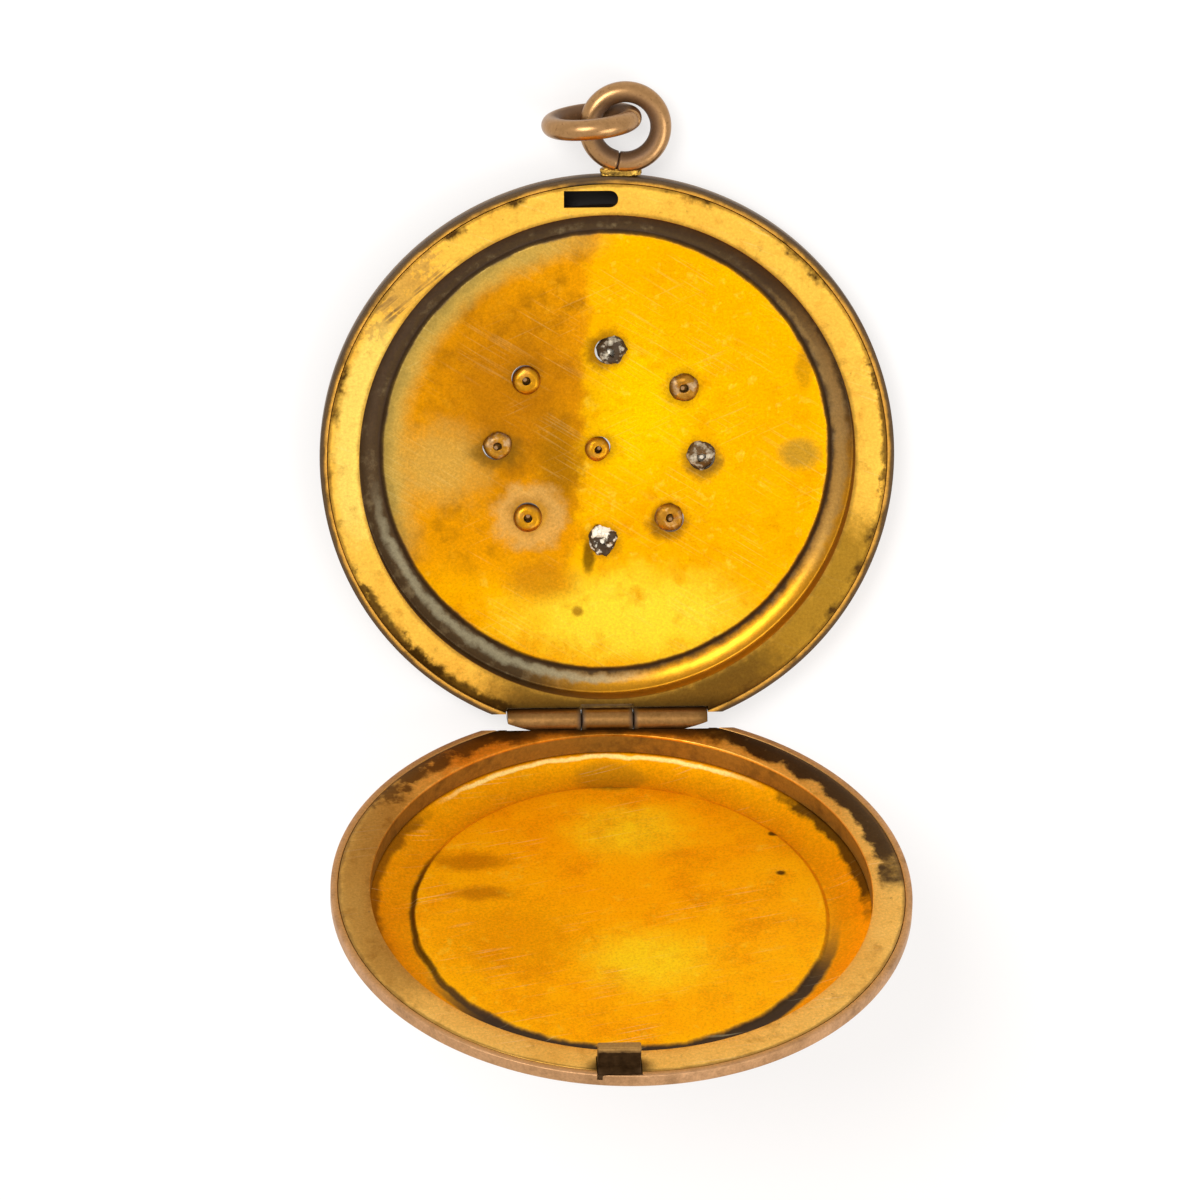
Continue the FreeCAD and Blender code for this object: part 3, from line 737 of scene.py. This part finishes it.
most = put(setting, "CombineXYZ", {0: given["Lean"], 1: given["Lean"], 2: math.tau})
turning = put(setting, "FunctionNodeRandomValue", {0: least, 1: most, "Seed": given["Seed"]},
              data_type="FLOAT_VECTOR")
girth = put(setting, "GeometryNodeInputNamedAttribute", {"Name": "girth"}, data_type="FLOAT")
stretch = put(setting, "CombineXYZ",
              {0: girth.outputs["Attribute"], 1: girth.outputs["Attribute"], 2: 1.0})
standing = put(setting, "GeometryNodeInstanceOnPoints",
               {"Points": given["Places"], "Instance": shape.outputs["Geometry"],
                "Rotation": turning, "Scale": stretch})
whole = put(setting, "GeometryNodeRealizeInstances", {0: standing})
broken = put(setting, "GeometryNodeInputNamedAttribute", {"Name": "broken"}, data_type="FLOAT")
rough = put(setting, "TexNoise", {"Scale": 1.7, "Detail": 2.0})
centred = put(setting, "VectorMath", {0: rough.outputs["Color"], 1: (0.5, 0.5, 0.62)},
              operation="SUBTRACT")
amount = put(setting, "Math", {0: broken.outputs["Attribute"], 1: given["Damage"]},
             operation="MULTIPLY")
push = put(setting, "VectorMath", {0: centred, "Scale": amount}, operation="SCALE")
spot_at = put(setting, "GeometryNodeInputPosition")
level_at = put(setting, "SeparateXYZ", {0: spot_at})
above = put(setting, "Math", {0: level_at.outputs["Z"], 1: BREAKS_ABOVE}, operation="GREATER_THAN")
torn = put(setting, "GeometryNodeSetPosition",
           {"Geometry": whole, "Selection": above,
            "Offset": push})
clad = put(setting, "GeometryNodeSetMaterial", {"Geometry": torn, "Material": given["Finish"]})
put(setting, "NodeGroupOutput", {"Pieces": clad})

BROKEN = {"1": 0.8, "2": 0.35, "3": 0.7, "4": 0.3, "5": 1.0, "7": 0.3}
places = bpy.data.meshes.new("cup_places")
places.from_pydata([(x, y, 0) for x, y, radius in cup_places.values()], [], [])
for label, values in (("girth", [radius / CUP_RADIUS for x, y, radius in cup_places.values()]),
                      ("broken", [BROKEN.get(name, 0.12) for name in cup_places])):
    places.attributes.new(label, "FLOAT", "POINT").data.foreach_set("value", values)


def set_in_holes(name, template, material, lean, damage, seed):
    """Sets a copy of the template at each of the nine places, as one mesh."""
    pattern = bpy.data.objects.new(name + "_pattern", template)
    holder = bpy.data.objects.new(name + "_holder", places)
    scene.collection.objects.link(pattern)
    scene.collection.objects.link(holder)
    nodes = holder.modifiers.new("setting", "NODES")
    nodes.node_group = setting
    keys = {item.name: item.identifier for item in setting.interface.items_tree}
    for field, value in zip(CUP_FIELDS, (pattern, material, lean, damage, seed)):
        nodes[keys[field]] = value
    graph = bpy.context.evaluated_depsgraph_get()
    mesh = bpy.data.meshes.new_from_object(holder.evaluated_get(graph))
    holder.modifiers.remove(nodes)
    bpy.data.objects.remove(holder)
    bpy.data.objects.remove(pattern)
    mesh.name = name
    return mesh


cup_brass, tree, lay = laid("turned_cup_brass")
broken = put(tree, "Attribute", attribute_name="broken").outputs["Fac"]
place = put(tree, "SeparateXYZ", {0: lay}).outputs
fine = wander_of(tree, lay, 4.0, 0.5, 21.0)
lifted = put(tree, "Math", {0: fine, 1: 0.3, 2: place["Z"]}, operation="MULTIPLY_ADD")
low = put(tree, "MapRange", {"Value": lifted, "From Min": -1.5, "From Max": -1.3, "To Min": 0.95,
                             "To Max": 0.15})
ruin = put(tree, "Math", {0: broken, 1: 1.4, 2: -0.1}, operation="MULTIPLY_ADD", use_clamp=True)
colour = stained(tree, "c98a10", "4f340c", low)
colour = stained(tree, colour, "3d2c16", ruin)
pale = patches(tree, lay, 1.9, 0.0, 0.1, 0.8, 23.0)
crust = put(tree, "Math", {0: pale, 1: ruin}, operation="MULTIPLY")
colour = stained(tree, colour, "d2c8b0", crust)
worst = put(tree, "MapRange", {"Value": broken, "From Min": 0.85, "From Max": 0.98})
core = put(tree, "Math", {0: pale, 1: worst}, operation="MULTIPLY")
colour = stained(tree, colour, "fbf5e4", core)
metal(tree, lay, colour, ruin, 0.3, 0.22, 0.02)

CUP_TOP = -FLOOR_DEPTH + 0.35
outline = [Vector((CUP_MOUTH, CUP_TOP))]
outline += arc((0.42, CUP_TOP), (CUP_RADIUS, -FLOOR_DEPTH), 0.32, 6)
outline += [Vector(corner) for corner in (
    (CUP_RADIUS, -FLOOR_DEPTH), (CUP_RADIUS, CUP_FOOT), (CUP_BORE, CUP_FOOT),
    (CUP_BORE, -FLOOR_DEPTH), (CUP_MOUTH, CUP_TOP - 0.12))]
cup_template = turned("cup", softened(outline, 0.05), 40, 0.08)
mesh = set_in_holes("stone_cups", cup_template, cup_brass, lean=0.08, damage=0.8, seed=4)
fitted("stone_cups", mesh, front_place, "front_half", cup_brass,
       ["stone_cup_" + name for name in cup_places])


# ---------------------------------------------------------------- the stones
# Small brilliants of cut paste, foiled behind, held by their girdles in the cups' mouths. They
# show on the locket's outside, and grey through the holes of the broken cups.

paste, tree, lay = laid("foiled_paste")
sparkle = put(tree, "TexNoise", {"Vector": lay, "Scale": 3.5, "Detail": 2.0})
stone_colour = stained(tree, "f2f4f2", "a9b0b0", sparkle.outputs["Fac"])
place = put(tree, "SeparateXYZ", {0: lay}).outputs
# Deep in the cups the stones are painted brown, as painted shade in the cups' holes; the broken
# cups show them pale.
behind = put(tree, "MapRange", {"Value": place["Z"], "From Min": -1.8, "From Max": -1.66,
                                "To Max": 0.97})
stone_colour = stained(tree, stone_colour, "94651a", behind)
broken = put(tree, "Attribute", attribute_name="broken").outputs["Fac"]
bared = put(tree, "MapRange", {"Value": broken, "From Min": 0.5, "From Max": 0.75})
shown = put(tree, "Math", {0: bared, 1: behind}, operation="MULTIPLY")
stone_colour = stained(tree, stone_colour, "f0e9d6", shown)
shader = put(tree, "BsdfPrincipled",
             {"Base Color": stone_colour, "Metallic": 0.35, "Roughness": 0.12, "IOR": 1.62,
              "Coat Weight": 1.0, "Coat Roughness": 0.03})
put(tree, "OutputMaterial", {"Surface": shader})

FACETS = 8
bm = bmesh.new()
for radius, drop, start in ((0.33, 2.0, 0.5), (0.48, 1.9, 0.0), (0.48, 1.84, 0.0),
                            (0.27, 1.62, 0.5), (0.1, FLOOR_DEPTH - 0.15, 0.0)):
    for step in range(FACETS):
        angle = (step + start) * math.tau / FACETS
        bm.verts.new((radius * math.cos(angle), radius * math.sin(angle), -drop))
bmesh.ops.convex_hull(bm, input=bm.verts)
bmesh.ops.recalc_face_normals(bm, faces=bm.faces)
mesh = set_in_holes("paste_stones", meshed(bm, "stone"), paste, lean=0.02, damage=0.0, seed=9)
fitted("paste_stones", mesh, front_place, "front_half", paste,
       ["stone_" + name for name in cup_places], 5)


# ---------------------------------------------------------------- the hinge
# Three knuckles of drawn gold-filled tube on a wire pin, lying in a trough filed across the
# rims and soldered there, their ends filed to the covers' outline. Dirt fills the gaps.

hinge_gold, tree, lay = laid("rubbed_hinge_tube")
place = put(tree, "SeparateXYZ", {0: lay}).outputs
colour = stained(tree, "9c7342", "6c4a25", clouds(tree, lay, 2.4, 1.0, 31.0, 0.45))
side = put(tree, "Math", {0: place["X"]}, operation="ABSOLUTE")
gap = put(tree, "Math", {0: side, 1: 1.3}, operation="SUBTRACT")
near = put(tree, "Math", {0: gap}, operation="ABSOLUTE")
seam = put(tree, "MapRange", {"Value": near, "From Min": 0.05, "From Max": 0.28, "To Min": 0.95,
                              "To Max": 0.0})
colour = stained(tree, colour, "2f1f0d", seam)
# The knuckles are painted darker on their lower side, down in the trough, as painted shade.
sunk = put(tree, "MapRange", {"Value": place["Z"], "From Min": 0.05, "From Max": 0.4,
                              "To Min": 0.9, "To Max": 0.0})
colour = stained(tree, colour, "5a3f1d", sunk)
tips = put(tree, "MapRange", {"Value": side, "From Min": 4.2, "From Max": 5.0, "To Max": 0.8})
colour = stained(tree, colour, "5b4020", tips)
metal(tree, lay, colour, seam, 0.28, 0.2, 0.02)

BORE = 0.33
PIN_RADIUS = 0.3
KNUCKLE_START = CENTRE_REACH + KNUCKLE_GAP


def tube(name, bore, radius, low, high, round_by, segments, longest, way):
    """A length of tube or wire on the hinge line, between two distances along it."""
    outline = [Vector(corner) for corner in
               ((bore, low), (radius, low), (radius, high), (bore, high))]
    mesh = turned(name, softened(outline, round_by), segments, longest)
    mesh.transform(hinge_line(way))
    return mesh


def filed(mesh):
    """The mesh with its ends filed to the covers' round outline."""
    return carved(mesh, [rod(COVER_RADIUS, 6, Matrix.Identity(4), 288)], "INTERSECT")


for side, low, high in (("left", -HINGE_REACH, -KNUCKLE_START),
                        ("right", KNUCKLE_START, HINGE_REACH)):
    mesh = filed(tube(side + "_knuckle", BORE, KNUCKLE_RADIUS, low, high, 0.08, 72, 0.3, -1))
    fitted(side + "_knuckle", mesh, front_place, "front_half", hinge_gold,
           [side + "_hinge_knuckle"])
mesh = filed(tube("pin_wire", 0, PIN_RADIUS, -HINGE_REACH, HINGE_REACH, 0.06, 48, 0.5, -1))
fitted("pin_wire", mesh, front_place, "front_half", hinge_gold, ["hinge_pin"])

# The solder that beds the hinge keeps its CAD shape: a filling between rim and cover.
solder, tree = new_material("pitted_hard_solder")
where = put(tree, "TexCoord").outputs["Object"]
in_mm = put(tree, "VectorMath", {0: where, 1: (1 / MM, 1 / MM, 1 / MM)}, operation="MULTIPLY")
cloud = clouds(tree, in_mm, 2.5, 1.4, 41.0)
colour = stained(tree, "c99a3c", "6b4a1c", cloud)
metal(tree, in_mm, colour, cloud, 0.35, 0.25, 0.05)
for name in ("front_hinge_bearer", "back_hinge_bearer"):
    frame["nodes"][name].data.materials.clear()
    frame["nodes"][name].data.materials.append(solder)


# ---------------------------------------------------------------- the back cover
# The front cover's fellow, shallower inside, with a smaller disc where a picture goes. It
# stands open on the hinge. The same sheet, with black residue along the disc's catch side and
# painted shadow at the disc's foot there.

joint = next(joint for joint in frame["joints"] if joint["name"] == "cover_hinge")
hinge_at = Vector(joint["pos_m"])
opened = math.radians(-joint["range_deg"][0])
swing = (Matrix.Translation(hinge_at) @ Matrix.Rotation(opened, 4, "X")
         @ Matrix.Translation(-hinge_at))
shut = Matrix.Translation((0, 0, mating_height + 0.04 * MM)) @ Matrix.Rotation(math.pi, 4, "X")
back_place = swing @ shut @ Matrix.Scale(MM, 4)

BACK_DISC = RIM_INNER - 2.25
BACK_FLAT = 1.5
BACK_FOOT = 1.15
LEAF_GAUGE = 0.28
TONGUE_REACH = 1.05
TONGUE_OUT = COVER_RADIUS - 0.15

back_gold, tree, lay = laid("aged_back_gold_filled_sheet")
inside = put(tree, "Attribute", attribute_name="inside").outputs["Fac"]
fine = wander_of(tree, lay, 1.3, 0.9, 52.0)
calm = wander_of(tree, lay, 0.6, 0.5, 58.0)
cloud = clouds(tree, lay, 0.35, 1.6, 51.0)
colour = stained(tree, "ffaf00", "ffbe04", cloud)
colour = marked(tree, lay, fine, colour, spot, (
    ("ffdc20", (0.8, 6.6), (3.0, 2.2), 0.8, 0.95),
    ("ffdc20", (1.1, -3.6), (3.4, 2.6), 0.8, 0.9),
    ("c07a02", (-7.2, 4.3), (2.2, 0.8), 0.6, 0.75),
    ("b87406", (-6.8, 1.8), (1.8, 0.6), 0.7, 0.75),
    ("dd9600", (-5.5, -1.8), (4.0, 3.6), 0.7, 0.5)))
by_the_hinge = spot(tree, lay, calm, (0.0, 10.9), (1.9, 1.05), 0.3, 0.85)
colour = stained(tree, colour, "8f7318", by_the_hinge)
colour = mottled(tree, lay, colour, "d88600", 0.45, -0.02, 0.5, 56.0)
colour = mottled(tree, lay, colour, "ffe040", 1.6, 0.08, 0.5, 57.0)
colour = marked(tree, lay, fine, colour, spot, (
    ("3a230c", (7.9, 6.2), (0.26, 0.2), 0.5, 0.9), ("3a230c", (8.1, 3.1), (0.26, 0.2), 0.5, 0.9)))
cove = band(tree, lay, fine, BACK_DISC + 0.2, 14.0, 0.15, strength=0.6)
colour = stained(tree, colour, "e09208", cove)
colour = marked(tree, lay, fine, colour, band, (
    ("9a6410", 11.7, 12.6, 0.3, -120, 70, 0.7),
    ("3f260c", 11.95, 12.6, 0.15, 22, 28, 0.9),
    ("7a4a0c", 11.9, 12.6, 0.2, 175, 40, 0.8)))
# Black along the disc's catch side: residue, with painted shadow at the disc's foot.
residue_and_shadow = band(tree, lay, calm, BACK_DISC + 0.02, BACK_DISC + 0.72, 0.13, -80, 82, 0.97)
colour = stained(tree, colour, "1f1206", residue_and_shadow)
colour = marked(tree, lay, calm, colour, band, (
    # a dark band at the disc's left foot: residue, with painted shadow
    ("3a2208", BACK_DISC, BACK_DISC + 0.32, 0.1, -168, 48, 0.85),
    # a painted highlight at the foot of the rim's wall, by the hinge
    ("ffdf8c", 12.06, 12.24, 0.05, 94, 44, 0.9)))
colour = scratched(tree, lay, colour, "fff0c0", 0.2, 15, 8.0, 0.62, 53.0)
lip = band(tree, lay, calm, WALL_INNER - 0.05, 15.0, 0.05)
colour = stained(tree, colour, "c09258", lip)
outside = put(tree, "Math", {0: 1.0, 1: inside}, operation="SUBTRACT")
polished = stained(tree, "d3a67a", "b0865c", cloud)
polished = mottled(tree, lay, polished, "80603e", 0.9, 0.04, 0.7, 59.0)
polished = stained(tree, polished, "7d5b38", clouds(tree, lay, 0.9, 2.0, 55.0, 0.05))
colour = stained(tree, colour, polished, outside)
dullness = put(tree, "Math", {0: residue_and_shadow, 1: inside}, operation="MULTIPLY")
metal(tree, lay, colour, dullness, 0.48)


def tongue_notch():
    """Where the catch's foot is sunk, with a little room round it."""
    reach = TONGUE_REACH + 0.05
    return block((CATCH_X - reach, -TONGUE_OUT - 0.05, -RIM_PLATE),
                 (CATCH_X + reach, -SLOT_INNER, 3))


outline = cover_outline(side=0.6, foot=BACK_FOOT, shoulder=5.28, inner_shoulder=3.15,
                        cove=3.81, disc=BACK_DISC)
mesh = turned("back_cover_sheet", softened(outline, 0.06))
dented(mesh, depth=0.035, spread=5.0, fade_from=6.4, fade_to=9.7, seed=7.3)
mesh = carved(mesh, hinge_cutters(BACK_FLAT, 1) + [tongue_notch()])
fitted("back_cover_sheet", mesh, back_place, "back_half", back_gold,
       ["back_cover"])


# ---------------------------------------------------------------- the back rim
# The same L-section strip, notched for the catch's foot and the centre knuckle's leaf. Its
# hinge side is dark with old dirt, and painted shade nearest the hinge.

back_rim_gold, tree, lay = laid("rubbed_back_rim_strip")
place = put(tree, "SeparateXYZ", {0: lay}).outputs
fine = wander_of(tree, lay, 2.0, 0.9, 62.0)
calm = wander_of(tree, lay, 0.7, 0.3, 67.0)
colour = stained(tree, "dda648", "f2c264", clouds(tree, lay, 0.4, 1.4, 61.0))
colour = stained(tree, colour, "e08f1c", band(tree, lay, fine, 12.2, 14.2, 0.3, 100, 38, 0.85))
colour = mottled(tree, lay, colour, "b07a2a", 1.1, 0.03, 0.75, 68.0)
colour = scratched(tree, lay, colour, "fff0c8", 0.15, 10, 9.0, 0.6, 66.0)
coarse = wander_of(tree, lay, 0.75, 2.2, 69.0)
colour = marked(tree, lay, coarse, colour, band, (
    ("3d2811", 12.9, 16.4, 0.2, 36, 40, 0.97),
    ("5b3a10", 13.0, 16.4, 0.2, 128, 20, 0.9),
    ("5b3a12", 12.6, 16.4, 0.3, 90, 30, 0.8)))
colour = stained(tree, colour, "8a5f22", band(tree, lay, fine, 12.2, 13.9, 0.3, 180, 44, 0.6))
colour = stained(tree, colour, "6a4a22", band(tree, lay, calm, 13.8, 14.4, 0.08, strength=0.6))
round_catch = spot(tree, lay, calm, (CATCH_X, -13.6), (1.7, 1.0), 0.4, 0.9)
colour = stained(tree, colour, "3a250e", round_catch)
# Darker by the hinge: dirt with painted shade.
colour = stained(tree, colour, "3f290e", toward_hinge(tree, place, fine, 11.9, 12.7))
blot = patches(tree, lay, 3.0, 0.12, 0.22, 0.7, 64.0)
colour = stained(tree, colour, "6e4c1e", blot)
# The wall under the plate is painted a darker, streaky brown, and goes matt there.
below = put(tree, "MapRange", {"Value": place["Z"], "From Min": -0.16, "From Max": -0.07,
                               "To Min": 0.75, "To Max": 0.0})
colour = stained(tree, colour, "80601c", below)
streaky = mottled(tree, lay, "866220", "3f2a0c", 1.1, -0.02, 0.9, 65.0)
colour = stained(tree, colour, streaky, below)
darker_wall = put(tree, "Math", {0: below, 1: 0.7}, operation="MULTIPLY")
dullness = put(tree, "Math", {0: blot, 1: darker_wall}, operation="MAXIMUM")
metal(tree, lay, colour, dullness, 0.36)

leaf_reach = CENTRE_REACH + 0.03
leaf_notch = block((-leaf_reach, SLOT_INNER, -RIM_PLATE), (leaf_reach, CUTTER_REACH, 3))
mesh = turned("back_rim_strip", softened(rim_outline(BACK_FOOT), 0.05))
mesh = carved(mesh, hinge_cutters(BACK_FLAT, 1) + [leaf_notch, tongue_notch()])
fitted("back_rim_strip", mesh, back_place, "back_half", back_rim_gold,
       ["back_rim"])


# ---------------------------------------------------------------- the centre knuckle
# The back half's knuckle: a tube with a leaf that is sunk and soldered in the back rim.

leaf = block((0.02 - CENTRE_REACH, SLOT_INNER + 0.03, -LEAF_GAUGE),
             (CENTRE_REACH - 0.02, HINGE_OUT, 0))
mesh = tube("centre_knuckle", 0, KNUCKLE_RADIUS, -CENTRE_REACH, CENTRE_REACH, 0.07, 72, 0.3, 1)
mesh = filed(carved(carved(mesh, [leaf], "UNION"), [along_hinge(BORE, 2, 1)]))
fitted("centre_knuckle", mesh, back_place, "back_half", hinge_gold,
       ["centre_hinge_knuckle"])


# ---------------------------------------------------------------- the catch
# A strip of sheet bent up from the back rim, with a small lip filed at its tip, that snaps
# through the slot. It is dark with tarnish and bright where it rubs.

strip, tree, lay = laid("tarnished_catch_strip")
place = put(tree, "SeparateXYZ", {0: lay}).outputs
fine = wander_of(tree, lay, 2.6, 1.0, 71.0)
tip = put(tree, "Math", {0: fine, 1: 0.4, 2: place["Z"]}, operation="MULTIPLY_ADD")
bright = put(tree, "MapRange", {"Value": tip, "From Min": 0.75, "From Max": 1.0, "To Max": 0.8})
cloud = put(tree, "Math", {0: fine, 1: 0.4}, operation="ADD", use_clamp=True)
colour = stained(tree, "33210f", "5a3e1a", cloud)
colour = stained(tree, colour, "a87f42", bright)
metal(tree, lay, colour, cloud, 0.38, 0.25, 0.03)

bm = bmesh.new()
TONGUE_HEIGHT = 1.05
LIP_RISE = 0.2
near, far = SLOT_INNER + 0.2, SLOT_INNER + 0.65
section = ((SLOT_INNER + 0.05, 0), (near, 0), (near, TONGUE_HEIGHT), (far, TONGUE_HEIGHT),
           (far + 0.1, TONGUE_HEIGHT - LIP_RISE), (far, TONGUE_HEIGHT - 2 * LIP_RISE), (far, 0),
           (TONGUE_OUT, 0), (TONGUE_OUT, -LEAF_GAUGE), (SLOT_INNER + 0.05, -LEAF_GAUGE))
ends = [[bm.verts.new((CATCH_X + side, -y, z)) for y, z in section]
        for side in (-TONGUE_REACH, TONGUE_REACH)]
for index in range(len(section)):
    after = (index + 1) % len(section)
    bm.faces.new((ends[0][index], ends[0][after], ends[1][after], ends[1][index]))
for end in ends:
    bm.faces.new(end)
bmesh.ops.bevel(bm, geom=bm.edges, offset=0.04, segments=2, affect="EDGES", clamp_overlap=True)
bmesh.ops.triangulate(bm, faces=bm.faces)
bmesh.ops.recalc_face_normals(bm, faces=bm.faces)
fitted("catch_strip", meshed(bm, "catch_strip"), back_place, "back_half",
       strip, ["catch_tongue"])


# ---------------------------------------------------------------- the bail
# A ring of rose-gold wire with its seam beside its foot, soldered to the front cover's edge.
# Polished by wear outside, and painted brown inside as painted shade.

def rose_wire(name, seed, middle, facing, inner):
    """Rose-gold wire: pale and rubbed, with brown painted shade inside the ring."""
    material, tree, lay = laid(name)
    fine = wander_of(tree, lay, 2.4, 0.9, seed)
    cloud = put(tree, "Math", {0: fine, 1: 0.35}, operation="ADD", use_clamp=True)
    colour = stained(tree, "b68c5e", "80603a", cloud)
    away = put(tree, "VectorMath", {0: lay, 1: middle}, operation="SUBTRACT")
    along = put(tree, "VectorMath", {0: away, 1: facing}, operation="DOT_PRODUCT")
    lift = put(tree, "VectorMath", {0: facing, "Scale": along.outputs["Value"]}, operation="SCALE")
    flat = put(tree, "VectorMath", {0: away, 1: lift}, operation="SUBTRACT")
    far = put(tree, "VectorMath", {0: flat}, operation="LENGTH")
    ragged = put(tree, "Math", {0: fine, 1: 0.25, 2: far.outputs["Value"]},
                 operation="MULTIPLY_ADD")
    # The inside of the ring is painted brown, as painted shade, and goes matt there.
    shade_inside_ring = put(tree, "MapRange",
                {"Value": ragged, "From Min": inner + 0.22, "From Max": inner + 0.72,
                 "To Min": 0.92, "To Max": 0.0}, interpolation_type="SMOOTHSTEP")
    colour = stained(tree, colour, "5a3c20", shade_inside_ring)
    specks = patches(tree, lay, 6.0, 0.08, 0.2, 0.75, seed + 1)
    colour = stained(tree, colour, "7a5636", specks)
    metal(tree, lay, colour, shade_inside_ring, 0.24, 0.14, 0.012)
    return material


WIRE_SIDES = 36


def wire_ring(name, radius, wire, seam_at, seam, place):
    """A ring of round wire, not quite even, whose filed ends meet at a seam."""
    bm = bmesh.new()
    first = math.radians(seam_at + seam / 2)
    sweep = math.radians(360 - seam)
    filed_end = [(0.0, 0.84), (0.003, 0.95), (0.008, 1.0)]
    stations = filed_end + [(step / 160, 1.0) for step in range(2, 159)]
    stations += [(0.992, 1.0), (0.997, 0.95), (1.0, 0.84)]
    rings = []
    for share, scale in stations:
        angle = first + sweep * share
        drift = noise.noise(Vector((math.cos(angle), math.sin(angle), seam_at))) * 0.012
        thick = wire * (0.99 + drift) * scale
        ring = []
        for step in range(WIRE_SIDES):
            turn = math.tau * step / WIRE_SIDES
            out = radius + thick * math.cos(turn)
            ring.append(bm.verts.new((out * math.cos(angle), out * math.sin(angle),
                                      thick * math.sin(turn))))
        rings.append(ring)
    for ring, following in zip(rings, rings[1:]):
        for step in range(WIRE_SIDES):
            after = (step + 1) % WIRE_SIDES
            bm.faces.new((ring[step], ring[after], following[after], following[step]))
    bm.faces.new(rings[0])
    bm.faces.new(rings[-1])
    bmesh.ops.recalc_face_normals(bm, faces=bm.faces)
    mesh = meshed(bm, name)
    mesh.transform(place)
    return mesh


BAIL_RADIUS = 1.77
BAIL_WIRE = 0.53


def box_in_front(node):
    """A node's lowest and highest corners in the front half's own mm."""
    return [front_place.inverted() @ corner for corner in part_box(node)]


low, high = box_in_front("bail_ring")
bail_middle = (low + high) / 2
bail_wire = rose_wire("bail_rose_gold_wire", 81.0, tuple(bail_middle), (0, 0, 1),
                      BAIL_RADIUS - BAIL_WIRE)
mesh = wire_ring("bail_wire_ring", BAIL_RADIUS, BAIL_WIRE, -102, 1.6,
                 Matrix.Translation(bail_middle))
fitted("bail_wire_ring", mesh, front_place, "front_half", bail_wire,
       ["bail_ring"], 60)

# The bail stands in a lump of hard solder that was never filed smooth.
saddle_low, saddle_high = box_in_front("bail_saddle")
crust, tree, lay = laid("crusted_bail_solder")
cloud = clouds(tree, lay, 3.0, 1.8, 91.0, 0.35)
colour = stained(tree, "d8ac4c", "8a6526", cloud)
colour = mottled(tree, lay, colour, "241706", 1.9, -0.02, 1.0, 92.0)
matt_share = put(tree, "Math", {0: cloud, 1: 0.3}, operation="MULTIPLY")
metal(tree, lay, colour, matt_share, 0.3, 0.3, 0.06)
bm = bmesh.new()
bmesh.ops.create_icosphere(bm, subdivisions=5, radius=1)
for vert in bm.verts:
    shape = [math.copysign(abs(c) ** 0.62, c) for c in vert.co]
    lump = 0.93 + 0.07 * noise.fractal(vert.co * 3.1, 1.0, 2.0, 4)
    for i in range(3):
        middle = (saddle_low[i] + saddle_high[i]) / 2
        reach = (saddle_high[i] - saddle_low[i]) / 2
        vert.co[i] = middle + reach * max(-0.995, min(0.995, shape[i] * lump))
fitted("bail_solder", meshed(bm, "bail_solder"), front_place, "front_half", crust,
       ["bail_saddle"], 60)


# ---------------------------------------------------------------- the jump ring
# A loose ring of the same wire that hangs through the bail, for a chain. Its seam is closed.

low, high = box_in_front("jump_ring")
jump_middle = (low + high) / 2
JUMP_RADIUS = 1.975
JUMP_WIRE = 0.525
JUMP_TURN = math.radians(5.7)
jump_facing = Vector((-math.sin(JUMP_TURN), math.cos(JUMP_TURN), 0))
sideways = Vector((math.cos(JUMP_TURN), math.sin(JUMP_TURN), 0))
stand = Matrix((sideways, Vector((0, 0, 1)), -jump_facing)).transposed().to_4x4()
jump_wire = rose_wire("jump_ring_rose_gold_wire", 95.0, tuple(jump_middle), tuple(jump_facing),
                      JUMP_RADIUS - JUMP_WIRE)
mesh = wire_ring("jump_wire_ring", JUMP_RADIUS, JUMP_WIRE, 20, 1.5,
                 Matrix.Translation(jump_middle) @ stand)
fitted("jump_wire_ring", mesh, front_place, "jump_ring_body", jump_wire,
       ["jump_ring"], 60)
